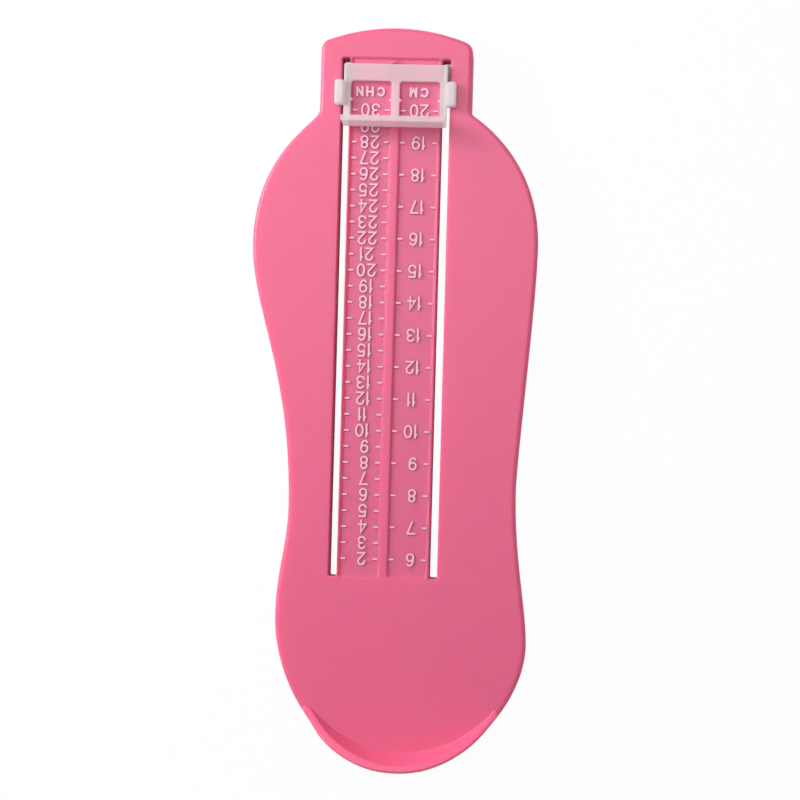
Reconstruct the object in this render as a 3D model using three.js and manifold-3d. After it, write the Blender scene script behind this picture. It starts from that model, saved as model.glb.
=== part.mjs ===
// Foot measuring device: a moulded foot plate with two printed scales, and a
// milky toe slider that runs in two slots beside the scales.
//
// Millimetres, +Z up. The plate is drawn in scale coordinates: X across it,
// Y from the zero of the centimetre scale towards the toes, Z from the table.
// At the end everything moves so that the middle of the footprint is at the
// origin.

import * as THREE from 'three';
import Module from 'manifold-3d';
import { mergeVertices } from 'three/addons/utils/BufferGeometryUtils.js';

const wasm = await Module();
wasm.setup();

// Foot plate
const plateTop = 10.8;          // upper face above the table
const plateWall = 2.2;          // thickness of the upper face
const skirtWall = 2.0;          // thickness of the rim that stands on the table
const edgeRadius = 1.4;         // rounding between the upper face and the rim

// Scales: the numbers on each, and how far apart they lie
const centimetreNumbers = [6, 20];
const centimetrePitch = 10;
const sizeNumbers = [2, 30];
const sizePitch = 5;
const sizeZeroY = 50;           // where shoe size 0 would be

// Slots that the slider runs in, with a wall all round them under the plate
const slotInnerX = 14.46;
const slotWidth = 2.48;
const slotHeelMargin = 5.6;     // from the end of the slots to the first centimetre mark
const slotToeMargin = 16.2;     // from the last centimetre mark to the end of the slots
const slotWall = 1.4;

// Tab at the toe end, with a crowned end
const toeEndMargin = 9.65;      // from the slots to the end of the plate
const tabHalfWidth = 23.7;
const tabCrownRadius = 60;
const tabCornerRadius = 3.5;

// Left side of the outline: widest at the ball, narrow at the waist, wide at
// the heel. A pull says how far the side runs on before it turns.
const leftNeckFromEnd = 25.65;
const leftNeckRadius = 3.5;
const leftFlarePull = 8.5;
const leftBallX = -43.55;
const leftBallFromNeck = 42.5;
const leftBallToePull = 23.7;
const leftBallHeelPull = 20.2;
const leftWaistX = -30.15;
const leftWaistY = 75.5;
const leftWaistToePull = 42;
const leftWaistHeelPull = 12;
const leftHeelX = -33.4;
const leftHeelY = 41.6;
const leftHeelToePull = 13.9;
const leftHeelHeelPull = 19.8;

// Right side of the outline
const rightNeckFromEnd = 25.2;
const rightNeckRadius = 2.2;
const rightFlarePull = 0.8;
const rightBallX = 45.65;
const rightBallFromNeck = 42.05;
const rightBallToePull = 28.2;
const rightBallHeelPull = 18.5;
const rightWaistX = 40.8;
const rightWaistY = 82;
const rightWaistToePull = 11.3;
const rightWaistHeelPull = 21;
const rightHeelX = 45.2;
const rightHeelY = 34;
const rightHeelToePull = 10.5;
const rightHeelHeelPull = 16.3;

// Back of the heel
const heelEndX = 6.6;
const heelEndY = -5.0;
const heelLeftPull = 25.8;
const heelRightPull = 22.1;

// Heel stop: a wall on the rim, low at its two front ends and high at the back
const heelCupX = 7.1;           // middle of the round inner foot of the wall
const heelCupRadius = 36.8;
const heelStopFrontY = 13.1;
const heelStopFrontHeight = 0.8;
const heelStopHeight = 10;
const heelStopRise = 0.55;      // climb of its top edge per mm towards the back
const heelStopLean = 0.35;      // how far the inner face leans out per mm of height
const heelFilletRadius = 1.6;

// Scale panels, sunk between the slots and parted by a ridge
const panelDepth = 0.8;
const panelWall = 1.5;
const panelSideRidge = 0.84;    // narrow ridge between a panel and its slot
const middleRidgeWidth = 2.94;
const toeRecessLength = 7.2;    // where no ridge parts the panels, at their toe end

// Raised ring in the panel at the toe end
const ringRadius = 2.45;
const ringWall = 0.7;
const ringHeight = 0.5;
const ringInset = 3.2;          // from the toe end of the slots

// Graduations and numerals, raised from the panel floor
const markHeight = 0.5;
const tickLength = 1.5;
const tickInset = 0.3;          // from the sides of its panel
const tickWidth = 0.6;
const numeralHeight = 4.25;
const numeralWidth = 2.75;
const numeralStroke = 0.55;
const numeralGap = 0.55;
const numeralOneWidth = 1.0;
const markSink = 0.2;           // how far a mark reaches into the floor under it
const sizeNumeralShift = -0.19; // from the middle of the panel
const centimetreNumeralShift = -0.07;
const singleNumeralShift = 0.95;

// Toe slider: a frame with two windows, a stop for the toes, two thumb tabs,
// and two legs with outward hooks below the slot walls
const restClearance = 0.3;      // between the slider and what it lies on or hooks under
const legClearance = 0.3;       // between a leg and the outer side of its slot
const legSnapRoom = 0.92;       // between a leg and the inner side of its slot
const legLength = 12.3;
const legPastFrame = 1.2;       // how far a leg runs on past the frame's toe edge
const legShoulderDepth = 3.8;   // from the foot plate down to where a leg is at its widest
const hookReach = 0.9;          // past the outer side of the slot
const hookHeight = 1.5;
const hookLength = 8;
const hookAboveTable = 1.0;
const restToSlotEnd = 0.9;      // from the legs to the toe end of the slots, as photographed
const frameSlotInset = 0.81;    // from the slot's outer side to the frame
const frameLength = 19.4;
const frameThickness = 1.4;
const stopThickness = 1.85;
const stopHeight = 9.7;         // above the foot plate
const windowSlotInset = 0.56;   // from the slot's inner side to the window
const windowBar = 2.5;          // bar between the two windows
const windowToeInset = 5.25;
const windowCornerRadius = 0.5;
const windowStopStrip = 0.85;
const pointerInset = 8.2;       // from the face that the toes touch
const pointerLength = 1.3;
const pointerWidth = 1.15;
const pointerRoot = 0.3;        // how far a pointer reaches back into its bar
const tabReach = 2.8;
const tabLength = 7.85;
const tabToeInset = 5.25;       // from the frame's toe edge
const tabHeight = 3.1;          // above the foot plate
const thumbTabCorner = 1.0;
const tabRoot = 0.3;            // how far a tab reaches into the frame

// Smoothness
const outlineSegments = 12;
const edgeSegments = 2;
const cornerSegments = 4;
const filletSegments = 3;
const cupSegments = 72;
const ringSteps = 8;            // round the ring of a numeral such as 0
const bowlSteps = 4;            // round the bowl of a numeral such as 3

const [firstCentimetre, lastCentimetre] = centimetreNumbers;
const [firstSize, lastSize] = sizeNumbers;
const slotHeelY = firstCentimetre * centimetrePitch - slotHeelMargin;
const slotToeY = lastCentimetre * centimetrePitch + slotToeMargin;
const toeEndY = slotToeY + toeEndMargin;
const leftNeckY = toeEndY - leftNeckFromEnd;
const rightNeckY = toeEndY - rightNeckFromEnd;
const leftBallY = leftNeckY - leftBallFromNeck;
const rightBallY = rightNeckY - rightBallFromNeck;
const slotOuterX = slotInnerX + slotWidth;
const panelOuterX = slotInnerX - panelSideRidge;
const panelMiddleX = (panelOuterX + middleRidgeWidth / 2) / 2;
const panelFloor = plateTop - panelDepth;
const hookTop = hookAboveTable + hookHeight;
const slotWallFoot = hookTop + restClearance;
const beyond = 2;               // how far a cutting shape runs past what it cuts
const farOut = 400;             // farther out than any piece reaches
const quarter = Math.PI / 2;

// Points and solids

function point(x, y) {
  return new THREE.Vector2(x, y);
}

// Points along an arc: its centre, its two radii and its two angles
function arcPoints(x, y, rx, ry, from, to, steps) {
  const curve = new THREE.EllipseCurve(x, y, rx, ry, from, to, to < from);
  return curve.getPoints(steps);
}

function toSolid(geometry) {
  const bare = geometry.index ? geometry.toNonIndexed() : geometry.clone();
  bare.deleteAttribute('normal');
  bare.deleteAttribute('uv');
  const merged = mergeVertices(bare, 1e-4);
  return new wasm.Manifold(new wasm.Mesh({
    numProp: 3,
    vertProperties: new Float32Array(merged.attributes.position.array),
    triVerts: new Uint32Array(merged.index.array),
  }));
}

function toGeometry(solid) {
  const mesh = solid.getMesh();
  const geometry = new THREE.BufferGeometry();
  geometry.setAttribute('position', new THREE.BufferAttribute(mesh.vertProperties, 3));
  geometry.setIndex(new THREE.BufferAttribute(mesh.triVerts, 1));
  geometry.computeVertexNormals();
  return geometry;
}

function joined(solids) {
  return solids.reduce((sum, solid) => sum.add(solid));
}

function box(x0, x1, y0, y1, z0, z1) {
  const geometry = new THREE.BoxGeometry(x1 - x0, y1 - y0, z1 - z0);
  geometry.translate((x0 + x1) / 2, (y0 + y1) / 2, (z0 + z1) / 2);
  return toSolid(geometry);
}

// A flat shape in X and Y raised from z0 to z1
function prism(shape, z0, z1, curveSegments = outlineSegments) {
  const geometry = new THREE.ExtrudeGeometry(shape, {
    depth: z1 - z0,
    bevelEnabled: false,
    curveSegments,
  });
  geometry.translate(0, 0, z0);
  return toSolid(geometry);
}

// A shape drawn in Y and Z, carried across from x0 to x1
function crossPrism(points, x0, x1) {
  const shape = new THREE.Shape(points.map(([y, z]) => new THREE.Vector2(y, z)));
  const geometry = new THREE.ExtrudeGeometry(shape, { depth: x1 - x0, bevelEnabled: false });
  const across = new THREE.Vector3(1, 0, 0);
  const along = new THREE.Vector3(0, 1, 0);
  const up = new THREE.Vector3(0, 0, 1);
  geometry.applyMatrix4(new THREE.Matrix4().makeBasis(along, up, across));
  geometry.translate(x0, 0, 0);
  return toSolid(geometry);
}

function roundedRectangle(x0, x1, y0, y1, radius) {
  const shape = new THREE.Shape();
  shape.moveTo(x0 + radius, y0);
  shape.lineTo(x1 - radius, y0);
  shape.absarc(x1 - radius, y0 + radius, radius, -Math.PI / 2, 0);
  shape.lineTo(x1, y1 - radius);
  shape.absarc(x1 - radius, y1 - radius, radius, 0, Math.PI / 2);
  shape.lineTo(x0 + radius, y1);
  shape.absarc(x0 + radius, y1 - radius, radius, Math.PI / 2, Math.PI);
  shape.lineTo(x0, y0 + radius);
  shape.absarc(x0 + radius, y0 + radius, radius, Math.PI, Math.PI * 1.5);
  return shape;
}

// Outline of the foot plate, anticlockwise from the left end of the tab's
// neck: round the heel, up the right side and over the crowned tab
function soleOutline() {
  const turn = Math.PI / 4;
  const shape = new THREE.Shape();
  shape.moveTo(-tabHalfWidth, leftNeckY);
  shape.absarc(-tabHalfWidth - leftNeckRadius, leftNeckY, leftNeckRadius, 0, -turn, true);
  const leftStart = shape.currentPoint.clone();
  shape.bezierCurveTo(
    leftStart.x - leftFlarePull * Math.sin(turn), leftStart.y - leftFlarePull * Math.cos(turn),
    leftBallX, leftBallY + leftBallToePull,
    leftBallX, leftBallY,
  );
  shape.bezierCurveTo(
    leftBallX, leftBallY - leftBallHeelPull,
    leftWaistX, leftWaistY + leftWaistToePull,
    leftWaistX, leftWaistY,
  );
  shape.bezierCurveTo(
    leftWaistX, leftWaistY - leftWaistHeelPull,
    leftHeelX, leftHeelY + leftHeelToePull,
    leftHeelX, leftHeelY,
  );
  shape.bezierCurveTo(
    leftHeelX, leftHeelY - leftHeelHeelPull,
    heelEndX - heelLeftPull, heelEndY,
    heelEndX, heelEndY,
  );
  shape.bezierCurveTo(
    heelEndX + heelRightPull, heelEndY,
    rightHeelX, rightHeelY - rightHeelHeelPull,
    rightHeelX, rightHeelY,
  );
  shape.bezierCurveTo(
    rightHeelX, rightHeelY + rightHeelToePull,
    rightWaistX, rightWaistY - rightWaistHeelPull,
    rightWaistX, rightWaistY,
  );
  shape.bezierCurveTo(
    rightWaistX, rightWaistY + rightWaistToePull,
    rightBallX, rightBallY - rightBallHeelPull,
    rightBallX, rightBallY,
  );
  const rightStart = new THREE.Vector2(
    tabHalfWidth + rightNeckRadius * (1 - Math.cos(turn)),
    rightNeckY - rightNeckRadius * Math.sin(turn),
  );
  shape.bezierCurveTo(
    rightBallX, rightBallY + rightBallToePull,
    rightStart.x + rightFlarePull * Math.sin(turn), rightStart.y - rightFlarePull * Math.cos(turn),
    rightStart.x, rightStart.y,
  );
  const rightNeckX = tabHalfWidth + rightNeckRadius;
  shape.absarc(rightNeckX, rightNeckY, rightNeckRadius, Math.PI + turn, Math.PI, true);

  const crownCentreY = toeEndY - tabCrownRadius;
  const cornerX = tabHalfWidth - tabCornerRadius;
  const cornerReach = tabCrownRadius - tabCornerRadius;
  const cornerY = crownCentreY + Math.sqrt(cornerReach ** 2 - cornerX ** 2);
  const crownAngle = Math.atan2(cornerY - crownCentreY, cornerX);
  shape.lineTo(tabHalfWidth, cornerY);
  shape.absarc(cornerX, cornerY, tabCornerRadius, 0, crownAngle);
  shape.absarc(0, crownCentreY, tabCrownRadius, crownAngle, Math.PI - crownAngle);
  shape.absarc(-cornerX, cornerY, tabCornerRadius, Math.PI - crownAngle, Math.PI);
  return shape;
}

// The same outline drawn in by a distance, for the hollow under the plate
function drawnIn(shape, distance) {
  const points = shape.getPoints(outlineSegments);
  const corners = points.filter((point, i) => {
    const next = points[(i + 1) % points.length];
    return point.distanceTo(next) > 1e-6;
  });
  const moved = corners.map((point, i) => {
    const before = corners.at(i - 1);
    const after = corners[(i + 1) % corners.length];
    const a = point.clone().sub(before).normalize();
    const b = after.clone().sub(point).normalize();
    const along = a.clone().add(b).normalize();
    const inward = new THREE.Vector2(-along.y, along.x);
    const reach = distance / Math.max(0.5, inward.dot(new THREE.Vector2(-a.y, a.x)));
    return point.clone().addScaledVector(inward, reach);
  });
  return new THREE.Shape(moved);
}

// Foot plate

function plateShell() {
  const geometry = new THREE.ExtrudeGeometry(soleOutline(), {
    depth: plateTop - edgeRadius + beyond,
    bevelEnabled: true,
    bevelThickness: edgeRadius,
    bevelSize: edgeRadius,
    bevelOffset: -edgeRadius,
    bevelSegments: edgeSegments,
    curveSegments: outlineSegments,
  });
  geometry.translate(0, 0, -beyond);
  const below = box(-farOut, farOut, -farOut, farOut, -farOut, 0);
  return toSolid(geometry).subtract(below);
}

function hollowUnderPlate() {
  const hollow = prism(drawnIn(soleOutline(), skirtWall), -beyond, plateTop - plateWall);
  const slotBlock = box(
    -slotOuterX - slotWall, slotOuterX + slotWall,
    slotHeelY - slotWall, slotToeY + slotWall,
    slotWallFoot, plateTop,
  );
  const panelHollow = box(
    -slotInnerX + slotWall, slotInnerX - slotWall,
    slotHeelY, slotToeY,
    -beyond, panelFloor - panelWall,
  );
  return hollow.subtract(slotBlock).add(panelHollow);
}

function slots() {
  const right = box(slotInnerX, slotOuterX, slotHeelY, slotToeY, -beyond, plateTop + beyond);
  const left = box(-slotOuterX, -slotInnerX, slotHeelY, slotToeY, -beyond, plateTop + beyond);
  return right.add(left);
}

function panels() {
  const ridgeX = middleRidgeWidth / 2;
  const top = plateTop + beyond;
  return joined([
    box(-panelOuterX, -ridgeX, slotHeelY, slotToeY, panelFloor, top),
    box(ridgeX, panelOuterX, slotHeelY, slotToeY, panelFloor, top),
    box(-panelOuterX, panelOuterX, slotToeY - toeRecessLength, slotToeY, panelFloor, top),
  ]);
}

function heelStop() {
  const wall = prism(soleOutline(), plateTop - edgeRadius, plateTop + heelStopHeight)
    .intersect(box(-farOut, farOut, -farOut, heelStopFrontY, 0, farOut));

  const cupHeight = heelStopHeight + beyond;
  const cupMouthRadius = heelCupRadius + heelStopLean * (cupHeight - heelFilletRadius);
  const filletX = heelCupRadius - heelFilletRadius;
  const filletZ = plateTop + heelFilletRadius;
  const profile = [
    point(0, plateTop),
    ...arcPoints(
      filletX, filletZ, heelFilletRadius, heelFilletRadius, -quarter, 0, filletSegments,
    ),
    point(cupMouthRadius, plateTop + cupHeight),
    point(0, plateTop + cupHeight),
  ];
  const cupGeometry = new THREE.LatheGeometry(profile, cupSegments);
  cupGeometry.rotateX(Math.PI / 2);
  cupGeometry.translate(heelCupX, heelCupRadius, 0);
  const cup = toSolid(cupGeometry);

  const frontTop = plateTop + heelStopFrontHeight;
  const backY = heelEndY - beyond;
  const above = crossPrism([
    [heelStopFrontY + beyond, frontTop - heelStopRise * beyond],
    [heelStopFrontY + beyond, farOut],
    [backY, farOut],
    [backY, frontTop + heelStopRise * (heelStopFrontY - backY)],
  ], -farOut, farOut);
  return wall.subtract(cup).subtract(above);
}

function toeRing() {
  const shape = new THREE.Shape();
  shape.absarc(0, slotToeY - ringInset, ringRadius, 0, Math.PI * 2);
  const hole = new THREE.Path();
  hole.absarc(0, slotToeY - ringInset, ringRadius - ringWall, 0, Math.PI * 2);
  shape.holes.push(hole);
  return prism(shape, panelFloor - markSink, panelFloor + ringHeight);
}

// Numerals, each made of strokes in a cell one wide and one high with its
// middle at 0, 0

const numeralStrokes = {
  0: [{ ring: [0, 0, 0.5, 0.5] }],
  1: [
    { line: [point(0.5, -0.5), point(0.5, 0.5)] },
    { line: [point(0.5, 0.46), point(-0.5, 0.26)] },
  ],
  2: [{
    line: [
      ...arcPoints(0, 0.22, 0.47, 0.28, 2 * quarter, -0.5 * quarter, bowlSteps + 1),
      point(-0.5, -0.5),
      point(0.5, -0.5),
    ],
  }],
  3: [
    { line: arcPoints(0, 0.26, 0.44, 0.24, 1.8 * quarter, -quarter, bowlSteps) },
    { line: arcPoints(0, -0.24, 0.5, 0.26, quarter, -1.8 * quarter, bowlSteps) },
  ],
  4: [
    { line: [point(0.22, -0.5), point(0.22, 0.5), point(-0.5, -0.22)] },
    { line: [point(-0.5, -0.22), point(0.5, -0.22)] },
  ],
  5: [{
    line: [
      point(0.42, 0.5),
      point(-0.34, 0.5),
      point(-0.44, 0.02),
      ...arcPoints(0, -0.18, 0.5, 0.32, 1.4 * quarter, -1.7 * quarter, bowlSteps + 1),
    ],
  }],
  6: [
    { ring: [0, -0.2, 0.48, 0.3] },
    { line: arcPoints(0.06, -0.1, 0.54, 0.6, 2 * quarter, 0.6 * quarter, bowlSteps) },
  ],
  7: [{ line: [point(-0.5, 0.5), point(0.5, 0.5), point(-0.12, -0.5)] }],
  8: [{ ring: [0, 0.26, 0.42, 0.24] }, { ring: [0, -0.24, 0.48, 0.26] }],
  9: [
    { ring: [0, 0.2, 0.48, 0.3] },
    { line: arcPoints(-0.06, 0.1, 0.54, 0.6, 0, -1.4 * quarter, bowlSteps) },
  ],
};

// Stroke of constant width round a run of points, as one flat shape
function strokeShape(points, width) {
  const half = width / 2;
  const side = (sign) => points.map((here, i) => {
    const before = points[Math.max(i - 1, 0)];
    const after = points[Math.min(i + 1, points.length - 1)];
    const first = i > 0 ? here.clone().sub(before) : after.clone().sub(here);
    const second = i < points.length - 1 ? after.clone().sub(here) : first.clone();
    const a = first.normalize();
    const b = second.normalize();
    const along = a.clone().add(b).normalize();
    const out = new THREE.Vector2(-along.y, along.x);
    const reach = half / Math.max(0.45, out.dot(new THREE.Vector2(-a.y, a.x)));
    return here.clone().addScaledVector(out, sign * reach);
  });
  return new THREE.Shape([...side(-1), ...side(1).reverse()]);
}

function ringShape(x, y, rx, ry, width) {
  const half = width / 2;
  const full = Math.PI * 2;
  const round = (grow) => arcPoints(x, y, rx + grow, ry + grow, 0, full, ringSteps).slice(0, -1);
  const shape = new THREE.Shape(round(half));
  shape.holes.push(new THREE.Path(round(-half).reverse()));
  return shape;
}

// One digit, whose top points to the heel, so it reads from the toe end
function digitSolid(digit, centreX, centreY) {
  const inkWidth = digit === '1' ? numeralOneWidth : numeralWidth;
  const sx = inkWidth - numeralStroke;
  const sy = numeralHeight - numeralStroke;
  const place = (p) => new THREE.Vector2(centreX - p.x * sx, centreY - p.y * sy);
  const solids = numeralStrokes[digit].map((stroke) => {
    const shape = stroke.ring
      ? ringShape(
        centreX - stroke.ring[0] * sx, centreY - stroke.ring[1] * sy,
        stroke.ring[2] * sx, stroke.ring[3] * sy, numeralStroke,
      )
      : strokeShape(stroke.line.map(place), numeralStroke);
    return prism(shape, panelFloor - markSink, panelFloor + markHeight);
  });
  return joined(solids);
}

// A number reads from its right end to its left in X, because it is turned round
function numberSolids(value, middleX, y) {
  const digits = [...String(value)];
  const widths = digits.map((digit) => (digit === '1' ? numeralOneWidth : numeralWidth));
  const total = widths.reduce((sum, width) => sum + width, numeralGap * (digits.length - 1));
  const shift = digits.length === 1 ? singleNumeralShift : 0;
  let right = middleX + shift + total / 2;
  return digits.map((digit, i) => {
    const solid = digitSolid(digit, right - widths[i] / 2, y);
    right -= widths[i] + numeralGap;
    return solid;
  });
}

function tickPair(innerX, outerX, y) {
  const low = Math.min(innerX, outerX) + tickInset;
  const high = Math.max(innerX, outerX) - tickInset;
  const z0 = panelFloor - markSink;
  const z1 = panelFloor + markHeight;
  const half = tickWidth / 2;
  return [
    box(low, low + tickLength, y - half, y + half, z0, z1),
    box(high - tickLength, high, y - half, y + half, z0, z1),
  ];
}

function scaleMarks() {
  const ridgeX = middleRidgeWidth / 2;
  const marks = [];
  for (let value = firstCentimetre; value <= lastCentimetre; value += 1) {
    const y = value * centimetrePitch;
    marks.push(...numberSolids(value, panelMiddleX + centimetreNumeralShift, y));
    marks.push(...tickPair(ridgeX, panelOuterX, y));
  }
  for (let value = firstSize; value <= lastSize; value += 1) {
    const y = sizeZeroY + value * sizePitch;
    marks.push(...numberSolids(value, sizeNumeralShift - panelMiddleX, y));
    marks.push(...tickPair(-ridgeX, -panelOuterX, y));
  }
  return joined(marks);
}

function footPlate() {
  return plateShell()
    .subtract(hollowUnderPlate())
    .subtract(slots())
    .subtract(panels())
    .add(heelStop())
    .add(toeRing())
    .add(scaleMarks());
}

// Toe slider

function toeSlider() {
  const legInner = slotInnerX + legSnapRoom;
  const legOuter = slotOuterX - legClearance;
  const halfWidth = slotOuterX - frameSlotInset;
  const legToeY = slotToeY - restToSlotEnd;
  const legHeelY = legToeY - legLength;
  const toeY = legToeY - legPastFrame;
  const stopFaceY = toeY - frameLength;
  const frameFoot = plateTop + restClearance;
  const frameTop = frameFoot + frameThickness;

  const frame = new THREE.Shape([
    point(-halfWidth, stopFaceY),
    point(halfWidth, stopFaceY),
    point(halfWidth, toeY),
    point(-halfWidth, toeY),
  ]);
  const windowInnerX = windowBar / 2;
  const windowOuterX = slotInnerX - windowSlotInset;
  const windowHeelY = stopFaceY + stopThickness + windowStopStrip;
  const windowToeY = toeY - windowToeInset;
  for (const [x0, x1] of [[-windowOuterX, -windowInnerX], [windowInnerX, windowOuterX]]) {
    const outline = roundedRectangle(x0, x1, windowHeelY, windowToeY, windowCornerRadius);
    frame.holes.push(new THREE.Path(outline.getPoints(cornerSegments)));
  }

  const pointerY = stopFaceY + pointerInset;
  const pointers = [];
  for (const [edgeX, way] of [
    [-windowOuterX, 1], [-windowInnerX, -1], [windowInnerX, 1], [windowOuterX, -1],
  ]) {
    const root = edgeX - way * pointerRoot;
    const tip = edgeX + way * pointerLength;
    const half = pointerWidth / 2;
    const corners = [
      point(root, pointerY - half),
      point(tip, pointerY),
      point(root, pointerY + half),
    ];
    pointers.push(prism(new THREE.Shape(way > 0 ? corners : corners.reverse()), frameFoot, frameTop));
  }

  const stop = box(
    -halfWidth, halfWidth, stopFaceY, stopFaceY + stopThickness, frameFoot, plateTop + stopHeight,
  );

  const sides = [-1, 1].map((side) => {
    const span = (near, far) => [Math.min(side * near, side * far), Math.max(side * near, side * far)];
    const [round0, round1] = span(halfWidth - thumbTabCorner * 2, halfWidth + tabReach);
    const [tab0, tab1] = span(halfWidth - tabRoot, halfWidth + tabReach);
    const tabToeY = toeY - tabToeInset;
    const tabHeelY = tabToeY - tabLength;
    const tab = prism(
      roundedRectangle(round0, round1, tabHeelY, tabToeY, thumbTabCorner),
      frameFoot, plateTop + tabHeight, cornerSegments,
    ).intersect(box(tab0, tab1, tabHeelY, tabToeY, 0, farOut));
    const [neck0, neck1] = span(legInner, halfWidth);
    const neck = box(neck0, neck1, legHeelY, toeY, hookAboveTable, frameTop);
    const [leg0, leg1] = span(legInner, legOuter);
    const shoulder = plateTop - legShoulderDepth;
    const leg = box(leg0, leg1, legHeelY, legToeY, hookAboveTable, shoulder);
    const [hook0, hook1] = span(legInner, slotOuterX + hookReach);
    const hookMiddleY = (legHeelY + legToeY) / 2;
    const hook = box(
      hook0, hook1,
      hookMiddleY - hookLength / 2, hookMiddleY + hookLength / 2,
      hookAboveTable, hookTop,
    );
    return joined([tab, neck, leg, hook]);
  });

  return joined([prism(frame, frameFoot, frameTop), ...pointers, stop, ...sides]);
}

// Assembly

const pinkAbs = new THREE.MeshStandardMaterial({ color: 0xe97294, roughness: 0.38, metalness: 0 });
const milkyPolypropylene = new THREE.MeshStandardMaterial({
  color: 0xe6e0e4,
  roughness: 0.32,
  metalness: 0,
  transparent: true,
  opacity: 0.75,
});

function namedMesh(name, solid, material) {
  const mesh = new THREE.Mesh(toGeometry(solid), material);
  mesh.name = name;
  return mesh;
}

const device = new THREE.Group();
device.position.set(-(leftBallX + rightBallX) / 2, -(toeEndY + heelEndY) / 2, 0);
device.add(namedMesh('foot_plate', footPlate(), pinkAbs));
device.add(namedMesh('toe_slider', toeSlider(), milkyPolypropylene));

const assembly = new THREE.Group();
assembly.add(device);

export default assembly;
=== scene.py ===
import math

import bpy
import numpy as np
from bpy.props import FloatProperty, PointerProperty, StringProperty
from mathutils import Matrix, Vector


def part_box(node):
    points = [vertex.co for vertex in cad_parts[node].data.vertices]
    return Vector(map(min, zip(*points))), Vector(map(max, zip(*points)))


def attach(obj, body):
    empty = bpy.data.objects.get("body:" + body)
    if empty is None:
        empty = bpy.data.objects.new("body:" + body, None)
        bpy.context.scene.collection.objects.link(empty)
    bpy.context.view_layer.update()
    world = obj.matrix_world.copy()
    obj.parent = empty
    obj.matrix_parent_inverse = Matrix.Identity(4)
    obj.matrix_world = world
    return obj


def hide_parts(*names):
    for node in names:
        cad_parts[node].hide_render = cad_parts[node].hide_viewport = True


bl_info = {
    "name": "Foot measuring device",
    "version": (1, 0, 0),
    "blender": (4, 5, 0),
    "location": "3D View > Sidebar > Foot gauge",
    "description": "Builds a child's foot gauge: a plate with raised scales and a milky toe slider",
    "category": "Add Mesh",
}

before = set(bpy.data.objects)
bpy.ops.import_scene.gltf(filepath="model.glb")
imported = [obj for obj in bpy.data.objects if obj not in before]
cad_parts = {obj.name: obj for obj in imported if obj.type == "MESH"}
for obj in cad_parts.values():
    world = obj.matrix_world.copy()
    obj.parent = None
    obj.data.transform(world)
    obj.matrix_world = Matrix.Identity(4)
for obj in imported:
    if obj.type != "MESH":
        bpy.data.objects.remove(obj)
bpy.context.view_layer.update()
plate_low, plate_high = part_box("foot_plate")
slider_low, slider_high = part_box("toe_slider")

MM = 0.001

# The plate is drawn in millimetres in scale coordinates: X across it, Y from the zero of the
# centimetre scale towards the toes, Z from the table.

# Scales: each number with its place along Y
CENTIMETRE_PITCH = 10.0
SIZE_PITCH = 5.0
SIZE_ZERO_Y = 50.0
CENTIMETRES = {number: number * CENTIMETRE_PITCH for number in range(6, 21)}
SIZES = {number: SIZE_ZERO_Y + number * SIZE_PITCH for number in range(2, 31)}

# Slots, with the wall that goes round each of them under the plate
SLOT_INNER_X = 14.46
SLOT_OUTER_X = SLOT_INNER_X + 2.48
SLOT_HEEL_Y = CENTIMETRES[6] - 5.6
SLOT_TOE_Y = CENTIMETRES[20] + 16.2
SLOT_WALL = 1.4

# Scale panels
PANEL_OUTER_X = SLOT_INNER_X - 0.84
RIDGE_X = 1.47
RIDGE_TOE_Y = SLOT_TOE_Y - 7.2
PANEL_MIDDLE_X = (PANEL_OUTER_X + RIDGE_X) / 2

# Sole outline: tab at the toe end, then ball, waist and heel on each side.
# A pull says how far the side runs on before it turns.
TOE_END_Y = SLOT_TOE_Y + 9.65
TAB_HALF_WIDTH = 23.7
TAB_CROWN_RADIUS = 60.0
TAB_CORNER_RADIUS = 3.5
NECK_TURN = math.pi / 4
HEEL_END = (6.6, -5.0)
LEFT = {
    "neck_y": TOE_END_Y - 25.65, "neck_radius": 3.5, "flare_pull": 8.5,
    "ball": (-43.55, TOE_END_Y - 68.15), "ball_pulls": (23.7, 20.2),
    "waist": (-30.15, 75.5), "waist_pulls": (42.0, 12.0),
    "heel": (-33.4, 41.6), "heel_pulls": (13.9, 19.8), "end_pull": 25.8,
}
RIGHT = {
    "neck_y": TOE_END_Y - 25.2, "neck_radius": 2.2, "flare_pull": 0.8,
    "ball": (45.65, TOE_END_Y - 67.25), "ball_pulls": (28.2, 18.5),
    "waist": (40.8, 82.0), "waist_pulls": (11.3, 21.0),
    "heel": (45.2, 34.0), "heel_pulls": (10.5, 16.3), "end_pull": 22.1,
}

# Heel stop: round inner foot of the wall, its two front ends and its slope
CUP_CENTRE = (7.1, 36.8)
CUP_RADIUS = 36.8
STOP_FRONT_Y = 12.3
STOP_FRONT_HEIGHT = 0.8
STOP_LEAST_HEIGHT = 0.05
STOP_RISE = 0.55
STOP_LEAN = 0.3
STOP_BOW = 0.6           # how hollow the inner face is: 0 leans evenly, 1 ends upright at the rim
LEFT_INSET = 0.36        # how far the rim stands in from the outline near its front ends
RIGHT_INSET = 0.18
INSET_FULL = 2.0         # how far heelward of the front it stays so, and where it has faded out
INSET_END = 9.5
LEFT_SPREAD = 0.32       # how far the rim stands out of the outline behind that
RIGHT_SPREAD = 0.13
SIDE_CHANGE = 20.0       # width over which the rim changes from its right measures to its left ones
RIM_DROP = 1.6           # how far down its outer rounding reaches, for each mm across
RIM_ROOM = 0.8           # most of the wall's height that a rounding of the rim may take
INNER_SHARE = 0.3        # most of the wall's thickness that its inner and outer rounding may take
OUTER_SHARE = 0.6
LEAST_THICKNESS = 0.01   # of the wall, where the slope of its top is worked out

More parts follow.
